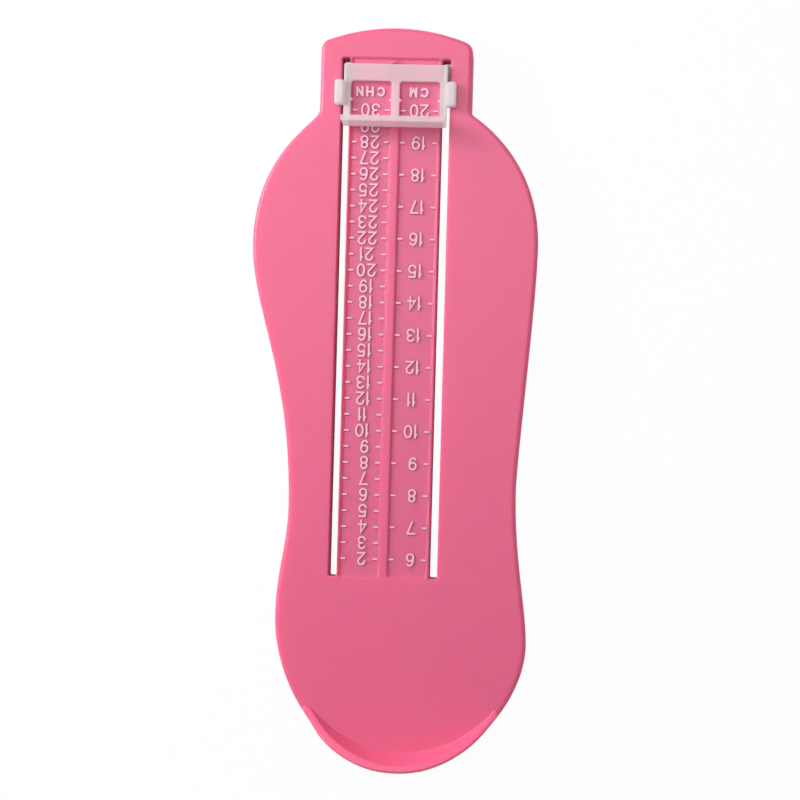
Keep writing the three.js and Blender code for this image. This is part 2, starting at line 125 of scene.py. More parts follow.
# Numerals, marks and names
NUMERAL_GAP = 0.55
NARROW_ONE = 1.0
SINGLE_SHIFT = 0.95      # how far towards +X a number of one digit stands
SIZE_SHIFT = -0.19       # how far the numbers stand off the middle of their panel
CENTIMETRE_SHIFT = -0.07
LETTER_WIDTHS = {"C": 2.7, "H": 2.45, "N": 2.35, "M": 2.5}
LETTER_GAP = 0.8
NAME_PLACES = {"CHN": SIZE_SHIFT - 0.15 - PANEL_MIDDLE_X, "CM": PANEL_MIDDLE_X - 0.3}
NAME_Y = 205.75
TICK_LENGTH = 1.5
TICK_INSET = 0.3
TICK_WIDTH = 0.65
MARK_SINK = 0.15         # how far a mark starts below the panel floor
STEP_DOWN = 0.012        # each next stroke of a numeral is this much lower, so no two tops share a plane
SHOULDER = 0.07          # width and depth of the slope beside a stroke's flat top
SHOULDER_SHARE = 0.4     # most of a stroke's half width that the slope may take
FOOT_FLARE = 0.04        # how much further out a stroke's foot lies
LEAST_COSINE = 0.45      # of half a stroke's turn, so that a sharp corner isn't drawn out too far

# Toe ring
RING_Y = SLOT_TOE_Y - 3.7
RING_RADIUS = 2.55
RING_HALF_WIDTH = 0.55
RING_EXTRA = 0.5         # how much higher it stands than the marks

# Toe slider, in X from its middle and in Y from the face that the toes touch
SLIDER_STOP = 1.85
FRAME_HALF = SLOT_OUTER_X - 0.81
FRAME_LENGTH = 19.4
FRAME_CORNER = 0.5
WINDOW_OUTER_X = SLOT_INNER_X - 0.56
WINDOW_INNER_X = 1.25
WINDOW_HEEL = 2.7
WINDOW_TOE = 14.15
WINDOW_CORNER = 0.9
POINTER = 8.2
POINTER_HALF = 0.575
POINTER_LENGTH = 0.95
LEG_INNER_X = SLOT_INNER_X + 0.92
LEG_OUTER_X = SLOT_OUTER_X - 0.3
LEG_FROM = 8.3
LEG_TO = 20.6
LEG_SHOULDER = 3.8       # from the foot plate down to where a leg is at its widest
LEG_ROUNDING = 0.2
LEG_STEP = 0.05          # between the faces of a leg's neck, middle and hook
HOOK_REACH = 0.9
HOOK_HEIGHT = 1.5
HOOK_LENGTH = 8.0
TAB_FROM = 6.3
TAB_TO = 14.15
TAB_STEP_FROM = 15.7     # where a tab starts to rise from the frame, and where it is level
TAB_STEP_TO = 16.5
TAB_SINK = 0.1           # how far its foot lies inside the frame
SLIDER_REST = 0.3        # between the slider and the plate
CORNER_PULL = 1 - math.sqrt(0.5)    # from a square corner to its arc, as a share of the radius

# Smoothness: points along curves, spacing of grid lines and stations, and the rounding of edges
CURVE_STEPS = 200
CELL = 2.0               # widest cell of the grid round the slots
LEAST_CELL_X = 0.6
LEAST_CELL_Y = 0.2
MARGIN_X = 1.3           # how far that grid runs past the slot walls
MARGIN_Y = 1.0
HEEL_SPACING = 1.0       # of the stations round the heel, and round the toe end
TOE_SPACING = 0.5
HORN_EDGE = 0.12         # half the length over which the heel stop's front ends rise
NORMAL_STEP = 0.05       # along the outline, to find which way it faces
FLAT_POINTS = 15
FLAT_START = 1.3         # where the flat points before a rounded edge start and end, inward from it
FLAT_END = 0.25
ARC_POINTS = 7
STOP_FACE_ROWS = 10
STOP_FOOT_ROW = 0.5      # how far before the heel stop's foot the plate has its last points
INNER_RIM_POINTS = 5
STROKE_POINTS = 6        # of a stroke's cross-section
RING_STEPS = 11
RING_STATIONS = 64
TAB_STEPS = 9
BLOCK_STEPS = 6
BEVEL_SEGMENTS = 3
CREASE = 60              # degrees; edges that turn by more are rounded
PLATE_CREASE = 80
WELD_CELL = 1e-8         # metres; points that round to the same cell are one

# Surface textures, in grains or patches for each millimetre. The real ones are finer than the
# render can show, so they are drawn this coarse.
ABS_GRAIN = 2.6
PRINT_GRAIN = 1.8
PRINT_PATCHES = 0.9
MILKY_GRAIN = 1.5
MILKY_PATCHES = 0.24
GRAIN_DEPTH = 0.05       # millimetres
PATCH_DEPTH = 0.08       # share by which a patch is darker

# Camera, as in the photograph
CAMERA_OVER = (42.0, 91.9)           # scale coordinates of the point straight under the camera
CAMERA_TURN = (0.183, 1.253, 1.574)  # degrees about X, then Y, then Z
PRINCIPAL_POINT = (481.2, 454.9)     # pixel where the lens axis meets the image
IMAGE_SIZE = 800
SENSOR_WIDTH = 36.0

# Floor and lights, in metres from the origin
FLOOR_HALF = 3.0
FLOOR_GLOW = 0.97        # how much of the floor that the camera sees is plain white
KEY_PLACE = (-0.565, 0.252, 0.367)
KEY_SIZE = 0.35
OVERHEAD_PLACE = (-0.08, 0.28, 0.78)
OVERHEAD_SIZE = 0.56


class PlateSettings(bpy.types.PropertyGroup):
    """Sizes of the foot plate."""

    edge_rounding: FloatProperty(
        name="Edge rounding", description="Radius between the upper face and the rim",
        default=0.0014, unit="LENGTH")
    corner_rounding: FloatProperty(
        name="Corner rounding", description="Rounding along slots, panels and the foot of the rim",
        default=0.00050, unit="LENGTH")
    stop_height: FloatProperty(
        name="Heel stop height", description="Height of the heel stop above the upper face",
        default=0.010, unit="LENGTH")
    rim_rounding: FloatProperty(
        name="Rim rounding", description="Rounding of the heel stop's outer upper edge",
        default=0.0012, unit="LENGTH")
    rim_edge: FloatProperty(
        name="Rim edge", description="Rounding of the heel stop's inner upper edge",
        default=0.00035, unit="LENGTH")
    wall: FloatProperty(
        name="Wall", description="Thickness of the upper face", default=0.0022, unit="LENGTH")
    skirt: FloatProperty(
        name="Skirt", description="Thickness of the rim that stands on the table",
        default=0.002, unit="LENGTH")
    panel_depth: FloatProperty(
        name="Panel depth", description="How far the scale panels are sunk",
        default=0.0008, unit="LENGTH")
    panel_wall: FloatProperty(
        name="Panel wall", description="Thickness of the panel floor", default=0.0015, unit="LENGTH")
    slot_wall_depth: FloatProperty(
        name="Slot wall depth", description="How far the slot walls reach down",
        default=0.008, unit="LENGTH")


class ScaleSettings(bpy.types.PropertyGroup):
    """Sizes of the raised numerals and marks."""

    mark_height: FloatProperty(
        name="Mark height", description="How far marks stand out of the panel floor",
        default=0.0005, unit="LENGTH")
    stroke: FloatProperty(
        name="Stroke", description="Width of a numeral's stroke", default=0.00065, unit="LENGTH")
    numeral_height: FloatProperty(
        name="Numeral height", description="Height of a numeral", default=0.00425, unit="LENGTH")
    numeral_width: FloatProperty(
        name="Numeral width", description="Width of a numeral", default=0.00275, unit="LENGTH")
    name_height: FloatProperty(
        name="Name height", description="Height of the letters that name a scale",
        default=0.0031, unit="LENGTH")
    name_stroke: FloatProperty(
        name="Name stroke", description="Width of a letter's stroke", default=0.00075, unit="LENGTH")


class SliderSettings(bpy.types.PropertyGroup):
    """Sizes of the toe slider."""

    frame_thickness: FloatProperty(
        name="Frame thickness", description="Thickness of the frame round the windows",
        default=0.0014, unit="LENGTH")
    rounding: FloatProperty(
        name="Edge rounding", description="Rounding of the slider's edges",
        default=0.00028, unit="LENGTH")
    tab_height: FloatProperty(
        name="Tab height", description="Height of the thumb tabs above the plate",
        default=0.0031, unit="LENGTH")
    tab_rounding: FloatProperty(
        name="Tab rounding", description="Rounding of the thumb tabs", default=0.00075, unit="LENGTH")


class FinishSettings(bpy.types.PropertyGroup):
    """Colours of the finishes, as sRGB hex values."""

    pink: StringProperty(name="Plate", description="Colour of the moulded plate", default="F46C94")
    print_ink: StringProperty(name="Print", description="Colour on top of the marks", default="FFC4D6")
    milk: StringProperty(name="Slider", description="Colour of the toe slider", default="FEFDFE")
    thin_haze: FloatProperty(
        name="Thin haze", description="Share of light that a face of the thin frame scatters",
        default=0.6, min=0.0, max=1.0, subtype="FACTOR")
    thick_haze: FloatProperty(
        name="Thick haze", description="Share of light that a face of the tabs and legs scatters",
        default=0.9, min=0.0, max=1.0, subtype="FACTOR")
    floor: StringProperty(name="Floor", description="Colour of the studio floor", default="F4F4F4")


class StageSettings(bpy.types.PropertyGroup):
    """Camera and lights."""

    camera_height: FloatProperty(
        name="Camera height", description="Height above the upper face", default=0.560, unit="LENGTH")
    lens: FloatProperty(
        name="Lens", description="Focal length in mm on a sensor 36 mm wide", default=81.0, unit="CAMERA")
    key_power: FloatProperty(
        name="Key light", description="Power of the key light", default=4.45, unit="POWER")
    overhead_power: FloatProperty(
        name="Overhead light", description="Power of the soft light over the toe end",
        default=2.36, unit="POWER")
    fill_strength: FloatProperty(name="Fill", description="Strength of the even fill", default=0.275)


# Curves in the plane


def bezier(p0, p1, p2, p3, steps=CURVE_STEPS):
    """Cubic Bezier curve: the four points weighted by (1-t)^3, 3t(1-t)^2, 3t^2(1-t) and t^3."""
    t = np.linspace(0, 1, steps, endpoint=False)[:, None]
    p0, p1, p2, p3 = (np.array(p, float) for p in (p0, p1, p2, p3))
    return (1 - t) ** 3 * p0 + 3 * t * (1 - t) ** 2 * p1 + 3 * t**2 * (1 - t) * p2 + t**3 * p3


def arc(centre, radius, start, end, steps=CURVE_STEPS):
    """Circular arc: centre + radius * (cos a, sin a) for a from start to end, in radians."""
    a = np.linspace(start, end, steps, endpoint=False)
    return np.array(centre, float) + radius * np.stack([np.cos(a), np.sin(a)], 1)


def line(start, end, steps=CURVE_STEPS):
    """Straight line: start + t * (end - start)."""
    t = np.linspace(0, 1, steps, endpoint=False)[:, None]
    return np.array(start, float) + t * (np.array(end, float) - np.array(start, float))


def half_outline(side, sign):
    """One side of the sole, from the crown's middle to the heel end; sign is -1 on the left.

    Arcs for crown, corner and neck, then Bezier curves through ball, waist and heel, each with
    its pulls along Y.
    """
    mirror = np.array([sign, 1.0])
    up = np.array([0.0, 1.0])
    across = np.array([1.0, 0.0])
    quarter = math.pi / 2

    crown_y = TOE_END_Y - TAB_CROWN_RADIUS
    corner_x = TAB_HALF_WIDTH - TAB_CORNER_RADIUS
    corner_reach = TAB_CROWN_RADIUS - TAB_CORNER_RADIUS
    corner_y = crown_y + math.sqrt(corner_reach**2 - corner_x**2)
    crown_turn = math.atan2(corner_x, corner_y - crown_y)

    neck_radius = side["neck_radius"]
    neck_centre = (TAB_HALF_WIDTH + neck_radius, side["neck_y"])
    neck_end = arc(neck_centre, neck_radius, math.pi + NECK_TURN, math.pi, 1)[0]
    flare = neck_end + side["flare_pull"] * np.array([math.sin(NECK_TURN), -math.cos(NECK_TURN)])
    places = (side["ball"], side["waist"], side["heel"], HEEL_END)
    ball, waist, heel, end = (np.array(place) * mirror for place in places)
    ball_toe, ball_heel = side["ball_pulls"]
    waist_toe, waist_heel = side["waist_pulls"]
    heel_toe, heel_heel = side["heel_pulls"]
    return mirror * np.concatenate([
        arc((0, crown_y), TAB_CROWN_RADIUS, quarter, quarter - crown_turn),
        arc((corner_x, corner_y), TAB_CORNER_RADIUS, quarter - crown_turn, 0),
        line((TAB_HALF_WIDTH, corner_y), (TAB_HALF_WIDTH, side["neck_y"])),
        arc(neck_centre, neck_radius, math.pi, math.pi + NECK_TURN),
        bezier(neck_end, flare, ball + ball_toe * up, ball),
        bezier(ball, ball - ball_heel * up, waist + waist_toe * up, waist),
        bezier(waist, waist - waist_heel * up, heel + heel_toe * up, heel),
        bezier(heel, heel - heel_heel * up, end + side["end_pull"] * across, end),
    ])


def sole_outline():
    """Closed outline, anticlockwise from the crown's middle: left half, then right half reversed."""
    left = half_outline(LEFT, -1)
    right = half_outline(RIGHT, 1)
    return np.concatenate([left, [HEEL_END], right[:0:-1]])


OUTLINE = sole_outline()
OUTLINE_MIDDLE = (OUTLINE.min(0) + OUTLINE.max(0)) / 2
PLATE_MIDDLE = np.array([(plate_low.x + plate_high.x) / 2, (plate_low.y + plate_high.y) / 2])


def to_frame(points):
    """Points in scale coordinates and millimetres, moved into the frame, in metres."""
    placed = np.array(points, float) * MM
    placed[..., :2] += PLATE_MIDDLE - OUTLINE_MIDDLE * MM
    return placed


# Meshes


def weld(points, quads):
    """Makes one of points that share a place.

    Returns the points, and the faces as lists: first the quads that keep four corners, then the
    triangles that are left of quads with two corners in one place.
    """
    keys = np.round(points / WELD_CELL).astype(np.int64)
    _, first, inverse = np.unique(keys, axis=0, return_index=True, return_inverse=True)
    quads = inverse.reshape(-1)[quads]
    same = quads == np.roll(quads, -1, axis=1)
    lost = same.sum(1)
    drop = np.argmax(same[lost == 1], axis=1)
    kept = np.arange(4)[None, :] != drop[:, None]
    triangles = quads[lost == 1][kept].reshape(-1, 3)
    return points[first], quads[lost == 0].tolist() + triangles.tolist()


def grid_quads(rows, columns, wrap_rows=False, wrap_columns=False):
    """Quads of a grid of points, row by row; wrapping closes it on itself."""
    r = np.arange(rows if wrap_rows else rows - 1)
    c = np.arange(columns if wrap_columns else columns - 1)
    a, b = np.meshgrid(r, c, indexing="ij")
    here = a * columns
    below = (a + 1) % rows * columns
    beside = (b + 1) % columns
    return np.stack([here + b, here + beside, below + beside, below + b], -1).reshape(-1, 4)


def make_object(name, points, faces, materials, indices=None, smooth=True):
    """A mesh object at the origin, with its place in its points, in metres."""
    mesh = bpy.data.meshes.new(name)
    mesh.from_pydata(points.tolist(), [], faces)
    for material in materials:
        mesh.materials.append(material)
    if indices is not None:
        mesh.polygons.foreach_set("material_index", np.asarray(indices, np.int32))
    mesh.polygons.foreach_set("use_smooth", np.full(len(mesh.polygons), smooth))
    mesh.update()
    piece = bpy.data.objects.new(name, mesh)
    bpy.context.scene.collection.objects.link(piece)
    return piece


def make_shell(name, points, materials, quads=None):
    """A welded mesh object, from points in scale coordinates that each four in turn make a quad."""
    if quads is None:
        quads = np.arange(len(points)).reshape(-1, 4)
    return make_object(name, *weld(to_frame(points), quads), materials)


def keep_flat(piece):
    """Gives large faces the say over normals, so that flat faces stay flat to the eye."""
    normals = piece.modifiers.new("Flat faces", "WEIGHTED_NORMAL")
    normals.weight = 100


def round_edges(piece, width, crease=CREASE):
    """Rounds the sharp edges of a piece and keeps its flat faces flat to the eye."""
    bevel = piece.modifiers.new("Rounding", "BEVEL")
    bevel.width = width
    bevel.segments = BEVEL_SEGMENTS
    bevel.limit_method = "ANGLE"
    bevel.angle_limit = math.radians(crease)
    bevel.use_clamp_overlap = False
    bevel.miter_outer = "MITER_ARC"
    keep_flat(piece)


def at_height(plan, z):
    """Plan points with a height of their own, or one height for all."""
    z = np.broadcast_to(z, plan.shape[:-1])
    return np.concatenate([plan, z[..., None]], -1)


def stepped_plate(xs, ys, top, bottom):
    """Closed plate with vertical steps, over the cells between the lines xs and ys.

    top and bottom hold each cell's heights. A cell whose heights are equal is a hole down to the
    foot of its neighbours. Between two cells stand walls as high as their steps. Returns quads of
    points.
    """
    x0, y0 = np.meshgrid(xs[:-1], ys[:-1], indexing="ij")
    x1, y1 = np.meshgrid(xs[1:], ys[1:], indexing="ij")

    def quads(corners, mask):
        """One quad for each cell that the mask holds, from the cells' four corners."""
        return np.stack([np.stack(np.broadcast_arrays(*corner), -1)[mask] for corner in corners], 1)

    faces = [
        quads([(x0, y0, top), (x1, y0, top), (x1, y1, top), (x0, y1, top)], top > bottom),
        quads([(x0, y0, bottom), (x0, y1, bottom), (x1, y1, bottom), (x1, y0, bottom)], top > bottom),
    ]
    x, near_y, far_y = x1[:-1], y0[:-1], y1[:-1]
    for low, high in ((top[1:], top[:-1]), (bottom[:-1], bottom[1:])):
        wall = [(x, near_y, low), (x, far_y, low), (x, far_y, high), (x, near_y, high)]
        faces.append(quads(wall, low != high))
    y, left_x, right_x = y1[:, :-1], x0[:, :-1], x1[:, :-1]
    for low, high in ((top[:, 1:], top[:, :-1]), (bottom[:, :-1], bottom[:, 1:])):
        wall = [(left_x, y, low), (left_x, y, high), (right_x, y, high), (right_x, y, low)]
        faces.append(quads(wall, low != high))
    return np.concatenate(faces)


def lines_between(marks, cell, room):
    """The given marks with evenly spaced lines between them, none nearer to a mark than room."""
    marks = np.unique(np.round(marks, 4))
    runs = [marks[:1]]
    for low, high in zip(marks[:-1], marks[1:]):
        count = max(1, int(math.ceil((high - low) / cell)))
        if (high - low) / count < room:
            count = max(1, int((high - low) / room))
        runs.append(np.linspace(low, high, count + 1)[1:])
    return np.concatenate(runs)


# Foot plate


def plate_lines():
    """Grid lines of the block round the slots: one on each edge, and enough between them."""
    wall_x = SLOT_OUTER_X + SLOT_WALL
    heel_wall = SLOT_HEEL_Y - SLOT_WALL
    toe_wall = SLOT_TOE_Y + SLOT_WALL
    half = np.array([
        RIDGE_X, SLOT_INNER_X - SLOT_WALL, PANEL_OUTER_X, SLOT_INNER_X, SLOT_OUTER_X,
        wall_x, wall_x + MARGIN_X,
    ])
    turn = np.linspace(0, NECK_TURN, 5)
    ys = np.concatenate([
        [heel_wall - MARGIN_Y, heel_wall, SLOT_HEEL_Y, RIDGE_TOE_Y],
        [SLOT_TOE_Y, toe_wall, toe_wall + MARGIN_Y],
        *(side["neck_y"] - side["neck_radius"] * np.sin(turn) for side in (LEFT, RIGHT)),
    ])
    xs = np.concatenate([-half, half])
    return lines_between(xs, CELL, LEAST_CELL_X), lines_between(ys, CELL, LEAST_CELL_Y)


def block_faces(xs, ys, plate_top, ceiling, floor, panel_ceiling, wall_foot):
    """Plate round the slots and scale panels, from X and Y lines and the heights of its steps."""
    x = np.abs((xs[:-1] + xs[1:]) / 2)[:, None]
    y = ((ys[:-1] + ys[1:]) / 2)[None, :]
    along = (y > SLOT_HEEL_Y) & (y < SLOT_TOE_Y)
    slot = along & (x > SLOT_INNER_X) & (x < SLOT_OUTER_X)
    panel = along & (x < PANEL_OUTER_X) & ((x > RIDGE_X) | (y > RIDGE_TOE_Y))
    along_wall = (y > SLOT_HEEL_Y - SLOT_WALL) & (y < SLOT_TOE_Y + SLOT_WALL)
    walled = along_wall & (x < SLOT_OUTER_X + SLOT_WALL)
    under_panel = along & (x < SLOT_INNER_X - SLOT_WALL)
    top = np.where(slot, wall_foot, np.where(panel, floor, plate_top))
    bottom = np.where(walled, wall_foot, ceiling)
    bottom = np.where(under_panel, panel_ceiling, bottom)
    return stepped_plate(xs, ys, top, bottom)


def plate_stations(xs, ys):
    """Where the plate's cross-sections run: inner end on the block, outer end on the outline.

    Along each side of the block the inner ends are its grid lines, and the outer ends lie straight
    across from them. Each of its corners has a fan of stations. Returns inner ends, outer ends and
    outward normals, anticlockwise.
    """
    double = np.concatenate([OUTLINE, OUTLINE, OUTLINE[:1]])
    steps = np.linalg.norm(np.diff(double, axis=0), axis=1)
    along = np.concatenate([[0], np.cumsum(steps)])
    count = len(OUTLINE)
    total = along[count]
    heel = int(np.argmin(OUTLINE[:, 1]))
    left, right = slice(0, heel + 1), slice(heel, count + 1)
    low, high = ys[0], ys[-1]

    def crossings(lines, part, axis, sign=1):
        """How far along the outline a part of it crosses lines; sign is -1 where they descend."""
        return np.interp(sign * lines, sign * double[part, axis], along[part])

    def between(start, end):
        """The part of the outline between two distances along it."""
        return slice(int(np.searchsorted(along, start)), int(np.searchsorted(along, end)))

    def fan(start, end, corner, spacing, extra=()):
        """Stations that share one inner end, evenly spaced along the outline, and extra ones."""
        steps = max(3, int(math.ceil((end - start) / spacing)))
        s = np.union1d(np.linspace(start, end, steps + 1)[1:-1], extra)
        return s, np.tile(corner, (len(s), 1))

    def side(s, x, y):
        """Stations with an inner end each."""
        return s, np.stack(np.broadcast_arrays(x, y), -1)

    left_s = crossings(ys[::-1], left, 1, -1)
    right_s = crossings(ys, right, 1)
    under_s = crossings(xs, between(left_s[-1], right_s[0]), 0)
    over_s = crossings(xs[::-1], between(right_s[-1], left_s[0] + total), 0, -1)
    horns = STOP_FRONT_Y + np.array([HORN_EDGE, -HORN_EDGE])
    left_horn = crossings(horns, left, 1, -1)
    right_horn = crossings(horns[::-1], right, 1)
    runs = [
        side(left_s, xs[0], ys[::-1]),
        fan(left_s[-1], under_s[0], (xs[0], low), HEEL_SPACING, left_horn),
        side(under_s, xs, low),
        fan(under_s[-1], right_s[0], (xs[-1], low), HEEL_SPACING, right_horn),
        side(right_s, xs[-1], ys),
        fan(right_s[-1], over_s[0], (xs[-1], high), TOE_SPACING),
        side(over_s, xs[::-1], high),
        fan(over_s[-1], left_s[0] + total, (xs[0], high), TOE_SPACING),
    ]
    s = np.concatenate([run[0] for run in runs])
    inner = np.concatenate([run[1] for run in runs])

    def on_outline(s):
        """Points of the outline at distances along it."""
        return np.stack([np.interp(s, along, double[:, axis]) for axis in (0, 1)], 1)

    tangent = on_outline(s + NORMAL_STEP) - on_outline(s - NORMAL_STEP)
    tangent /= np.linalg.norm(tangent, axis=1)[:, None]
    return inner, on_outline(s), np.stack([tangent[:, 1], -tangent[:, 0]], 1)


def plain_section(outer, normal, plate_top, rounding):
    """Upper face running flat to the rounded edge: outer - normal * reach, then a quarter circle."""
    reach = np.linspace(rounding + FLAT_START, rounding + FLAT_END, FLAT_POINTS)
    a = np.linspace(0, math.pi / 2, ARC_POINTS)
    reach = np.concatenate([reach, rounding * (1 - np.sin(a))])
    z = np.concatenate([np.full(FLAT_POINTS, plate_top), plate_top - rounding * (1 - np.cos(a))])
    plan = outer[:, None] - normal[:, None] * reach[None, :, None]
    return at_height(plan, z[None, :])


def quadratic(start, corner, end, steps, first=0):
    """Quadratic Bezier curve that rounds a corner: (1-t)^2, 2t(1-t) and t^2 weigh its points."""
    t = np.linspace(0, 1, steps)[None, first:, None]
    return (1 - t) ** 2 * start[:, None] + 2 * t * (1 - t) * corner[:, None] + t**2 * end[:, None]


def cup_lines(outer):
    """Foot of the heel stop's inner face at each station, and the direction out to the outline.

    The feet lie on the cup's foot circle. Their angles are spread between its two front ends as
    the angles of the stations are between the front ends of the outline.
    """
    centre = np.array(CUP_CENTRE)
    spoke = outer - centre
    angle = np.arctan2(spoke[:, 1], spoke[:, 0])
    drop = STOP_FRONT_Y - CUP_CENTRE[1]
    foot_half = math.sqrt(CUP_RADIUS**2 - drop**2)
    foot_ends = [math.atan2(drop, -foot_half), math.atan2(drop, foot_half)]
    outline_ends = angle[outer[:, 1] <= STOP_FRONT_Y][[0, -1]]
    foot_angle = np.interp(angle, outline_ends, foot_ends)
    foot = centre + CUP_RADIUS * np.stack([np.cos(foot_angle), np.sin(foot_angle)], 1)
    out = outer - foot
    return foot, out / np.linalg.norm(out, axis=1)[:, None]


def rim_outline(outer, out):
    """Outer edge of the rim: in from the outline near the front ends, and a little out of it behind.

    A smooth step, f^2 (3 - 2f), leads from the one to the other.
    """
    behind = STOP_FRONT_Y - outer[:, 1]
    fade = np.clip((INSET_END - behind) / (INSET_END - INSET_FULL), 0, 1)
    fade = fade**2 * (3 - 2 * fade)
    left = np.clip((CUP_CENTRE[0] - outer[:, 0]) / SIDE_CHANGE, 0, 1)
    front_inset = LEFT_INSET * left + RIGHT_INSET * (1 - left)
    spread = LEFT_SPREAD * left + RIGHT_SPREAD * (1 - left)
    return outer - out * (front_inset * fade - spread * (1 - fade))[:, None]


def stop_section(outer, plate_top, stop_height, rim, rim_edge):
    """Heel stop: a hollow inner face that leans out, and a rounded rim.

    The inner face lies on circles round the cup's middle, whose radius grows by the lean times
    h + bow * h * (1 - h / top). Each station's line runs from the cup's foot circle to the
    outline. The rim climbs evenly from the front ends to the stop's full height.
    """
    foot, out = cup_lines(outer)
    from_centre = foot - np.array(CUP_CENTRE)
    b = (from_centre * out).sum(-1)[:, None]

    def inner_at(h):
        """Where the stations' lines cross the circle of a height: foot + t * out, for the larger t."""
        c = (from_centre**2).sum(-1)[:, None] - (CUP_RADIUS + STOP_LEAN * h) ** 2
        t = -b + np.sqrt(np.maximum(b**2 - c, 0))
        return foot[:, None] + out[:, None] * t[..., None]

    def rim_height(y):
        """Front height plus rise for each mm heelward, up to the full height."""
        climb = STOP_FRONT_HEIGHT + STOP_RISE * (STOP_FRONT_Y - y)
        return np.clip(climb, STOP_LEAST_HEIGHT, stop_height)

    inner_height = rim_height(foot[:, 1])
    for _ in range(3):
        inner_height = rim_height(inner_at(inner_height[:, None])[:, 0, 1])
    outer = rim_outline(outer, out)
    outer_height = rim_height(outer[:, 1])
    edge = inner_at(inner_height[:, None])[:, 0]
    width = np.linalg.norm(outer - edge, axis=1)
    slope = (outer_height - inner_height) / np.maximum(width, LEAST_THICKNESS)
    room = RIM_ROOM * inner_height
    bend = np.minimum(rim_edge, np.minimum(room, INNER_SHARE * width))
    outer_bend = np.minimum(rim, np.minimum(room / RIM_DROP, OUTER_SHARE * width))

    h = (inner_height - bend)[:, None] * np.linspace(0, 1, STOP_FACE_ROWS) ** 2
    bowed = h + STOP_BOW * h * (1 - h / inner_height[:, None])
    face = at_height(inner_at(bowed), plate_top + h)
    before = inner_at(np.zeros((len(outer), 1))) - out[:, None] * STOP_FOOT_ROW

    inner_top = plate_top + inner_height
    outer_top = plate_top + outer_height
    inward = at_height(edge + out * bend[:, None], inner_top + slope * bend)
    outward = at_height(outer - out * outer_bend[:, None], outer_top - slope * outer_bend)
    down = at_height(outer, outer_top - RIM_DROP * outer_bend)
    return np.concatenate([
        at_height(before, plate_top),
        face,
        quadratic(face[:, -1], at_height(edge, inner_top), inward, INNER_RIM_POINTS, 1),
        quadratic(outward, at_height(outer, outer_top), down, ARC_POINTS),
    ], 1)


def plate_faces(settings):
    """All faces of the plate, as quads of points: the block, and the sections round it."""
    plate_top = (plate_high.z - settings.stop_height) / MM
    ceiling = plate_top - settings.wall / MM
    floor = plate_top - settings.panel_depth / MM
    panel_ceiling = floor - settings.panel_wall / MM
    wall_foot = plate_top - settings.slot_wall_depth / MM
    xs, ys = plate_lines()
    block = block_faces(xs, ys, plate_top, ceiling, floor, panel_ceiling, wall_foot)

    inner, outer, normal = plate_stations(xs, ys)
    plain = plain_section(outer, normal, plate_top, settings.edge_rounding / MM)
    stop = stop_section(
        outer, plate_top, settings.stop_height / MM, settings.rim_rounding / MM, settings.rim_edge / MM)
    heelward = (outer[:, 1] < STOP_FRONT_Y)[:, None, None]
    skirt = outer - normal * (settings.skirt / MM)
    rows = np.concatenate([
        at_height(inner, plate_top)[:, None],
        np.where(heelward, stop, plain),
        at_height(outer, ceiling)[:, None],
        at_height(outer, 0.0)[:, None],
        at_height(skirt, 0.0)[:, None],
        at_height(skirt, ceiling)[:, None],
        at_height(inner, ceiling)[:, None],
    ], 1)
    count, columns = rows.shape[:2]
    around = rows.reshape(-1, 3)[grid_quads(count, columns, wrap_rows=True)]
    return np.concatenate([block, around])


def build_plate(settings, material):
    """The plate, welded from its faces, with rounded edges."""
    piece = make_shell("foot_plate_moulding", plate_faces(settings).reshape(-1, 3), [material])
    round_edges(piece, settings.corner_rounding, PLATE_CREASE)
    return piece


# Strokes of numerals, letters and marks


def ellipse_arc(x, y, rx, ry, start, end, steps=14):
    """Part of an ellipse: (x + rx cos a, y + ry sin a), a from start to end in quarter turns."""
    a = np.linspace(start, end, steps + 1) * math.pi / 2
    return np.stack([x + rx * np.cos(a), y + ry * np.sin(a)], 1)


def run(*points):
    """Path straight from point to point."""
    return np.array(points, float)


# Each numeral in a cell one wide and one high round 0, 0: open, inner and closed strokes
NUMERALS = {
    "0": [("ring", ellipse_arc(0, 0, 0.5, 0.5, 0, 4, 28))],
    "1": [("open", run((0.5, -0.5), (0.5, 0.5))),
          ("open", run((0.5, 0.42), (-0.1, 0.3), (-0.5, 0.26)))],
    "2": [("open", np.concatenate([
        ellipse_arc(0, 0.22, 0.48, 0.28, 2, -0.45), run((-0.46, -0.5), (0.5, -0.5))]))],
    "3": [("open", ellipse_arc(0, 0.26, 0.44, 0.24, 1.75, -1)),
          ("open", ellipse_arc(0, -0.24, 0.5, 0.26, 1, -1.8))],
    "4": [("open", run((0.2, -0.5), (0.2, 0.5), (-0.5, -0.2))),
          ("open", run((-0.5, -0.2), (0.5, -0.2)))],
    "5": [("open", np.concatenate([
        run((0.42, 0.5), (-0.34, 0.5), (-0.42, 0.03)), ellipse_arc(0, -0.18, 0.5, 0.32, 1.45, -1.7)]))],
    "6": [("ring", ellipse_arc(0, -0.2, 0.48, 0.3, 0, 4, 22)),
          ("open", ellipse_arc(0.06, -0.1, 0.54, 0.6, 2, 0.6))],
    "7": [("open", run((-0.5, 0.5), (0.5, 0.5), (-0.14, -0.5)))],
    "8": [("ring", ellipse_arc(0, 0.26, 0.42, 0.24, 0, 4, 20)),
          ("ring", ellipse_arc(0, -0.24, 0.48, 0.26, 0, 4, 22))],
    "9": [("ring", ellipse_arc(0, 0.2, 0.48, 0.3, 0, 4, 22)),
          ("open", ellipse_arc(-0.06, 0.1, 0.54, 0.6, 0, -1.4))],
}
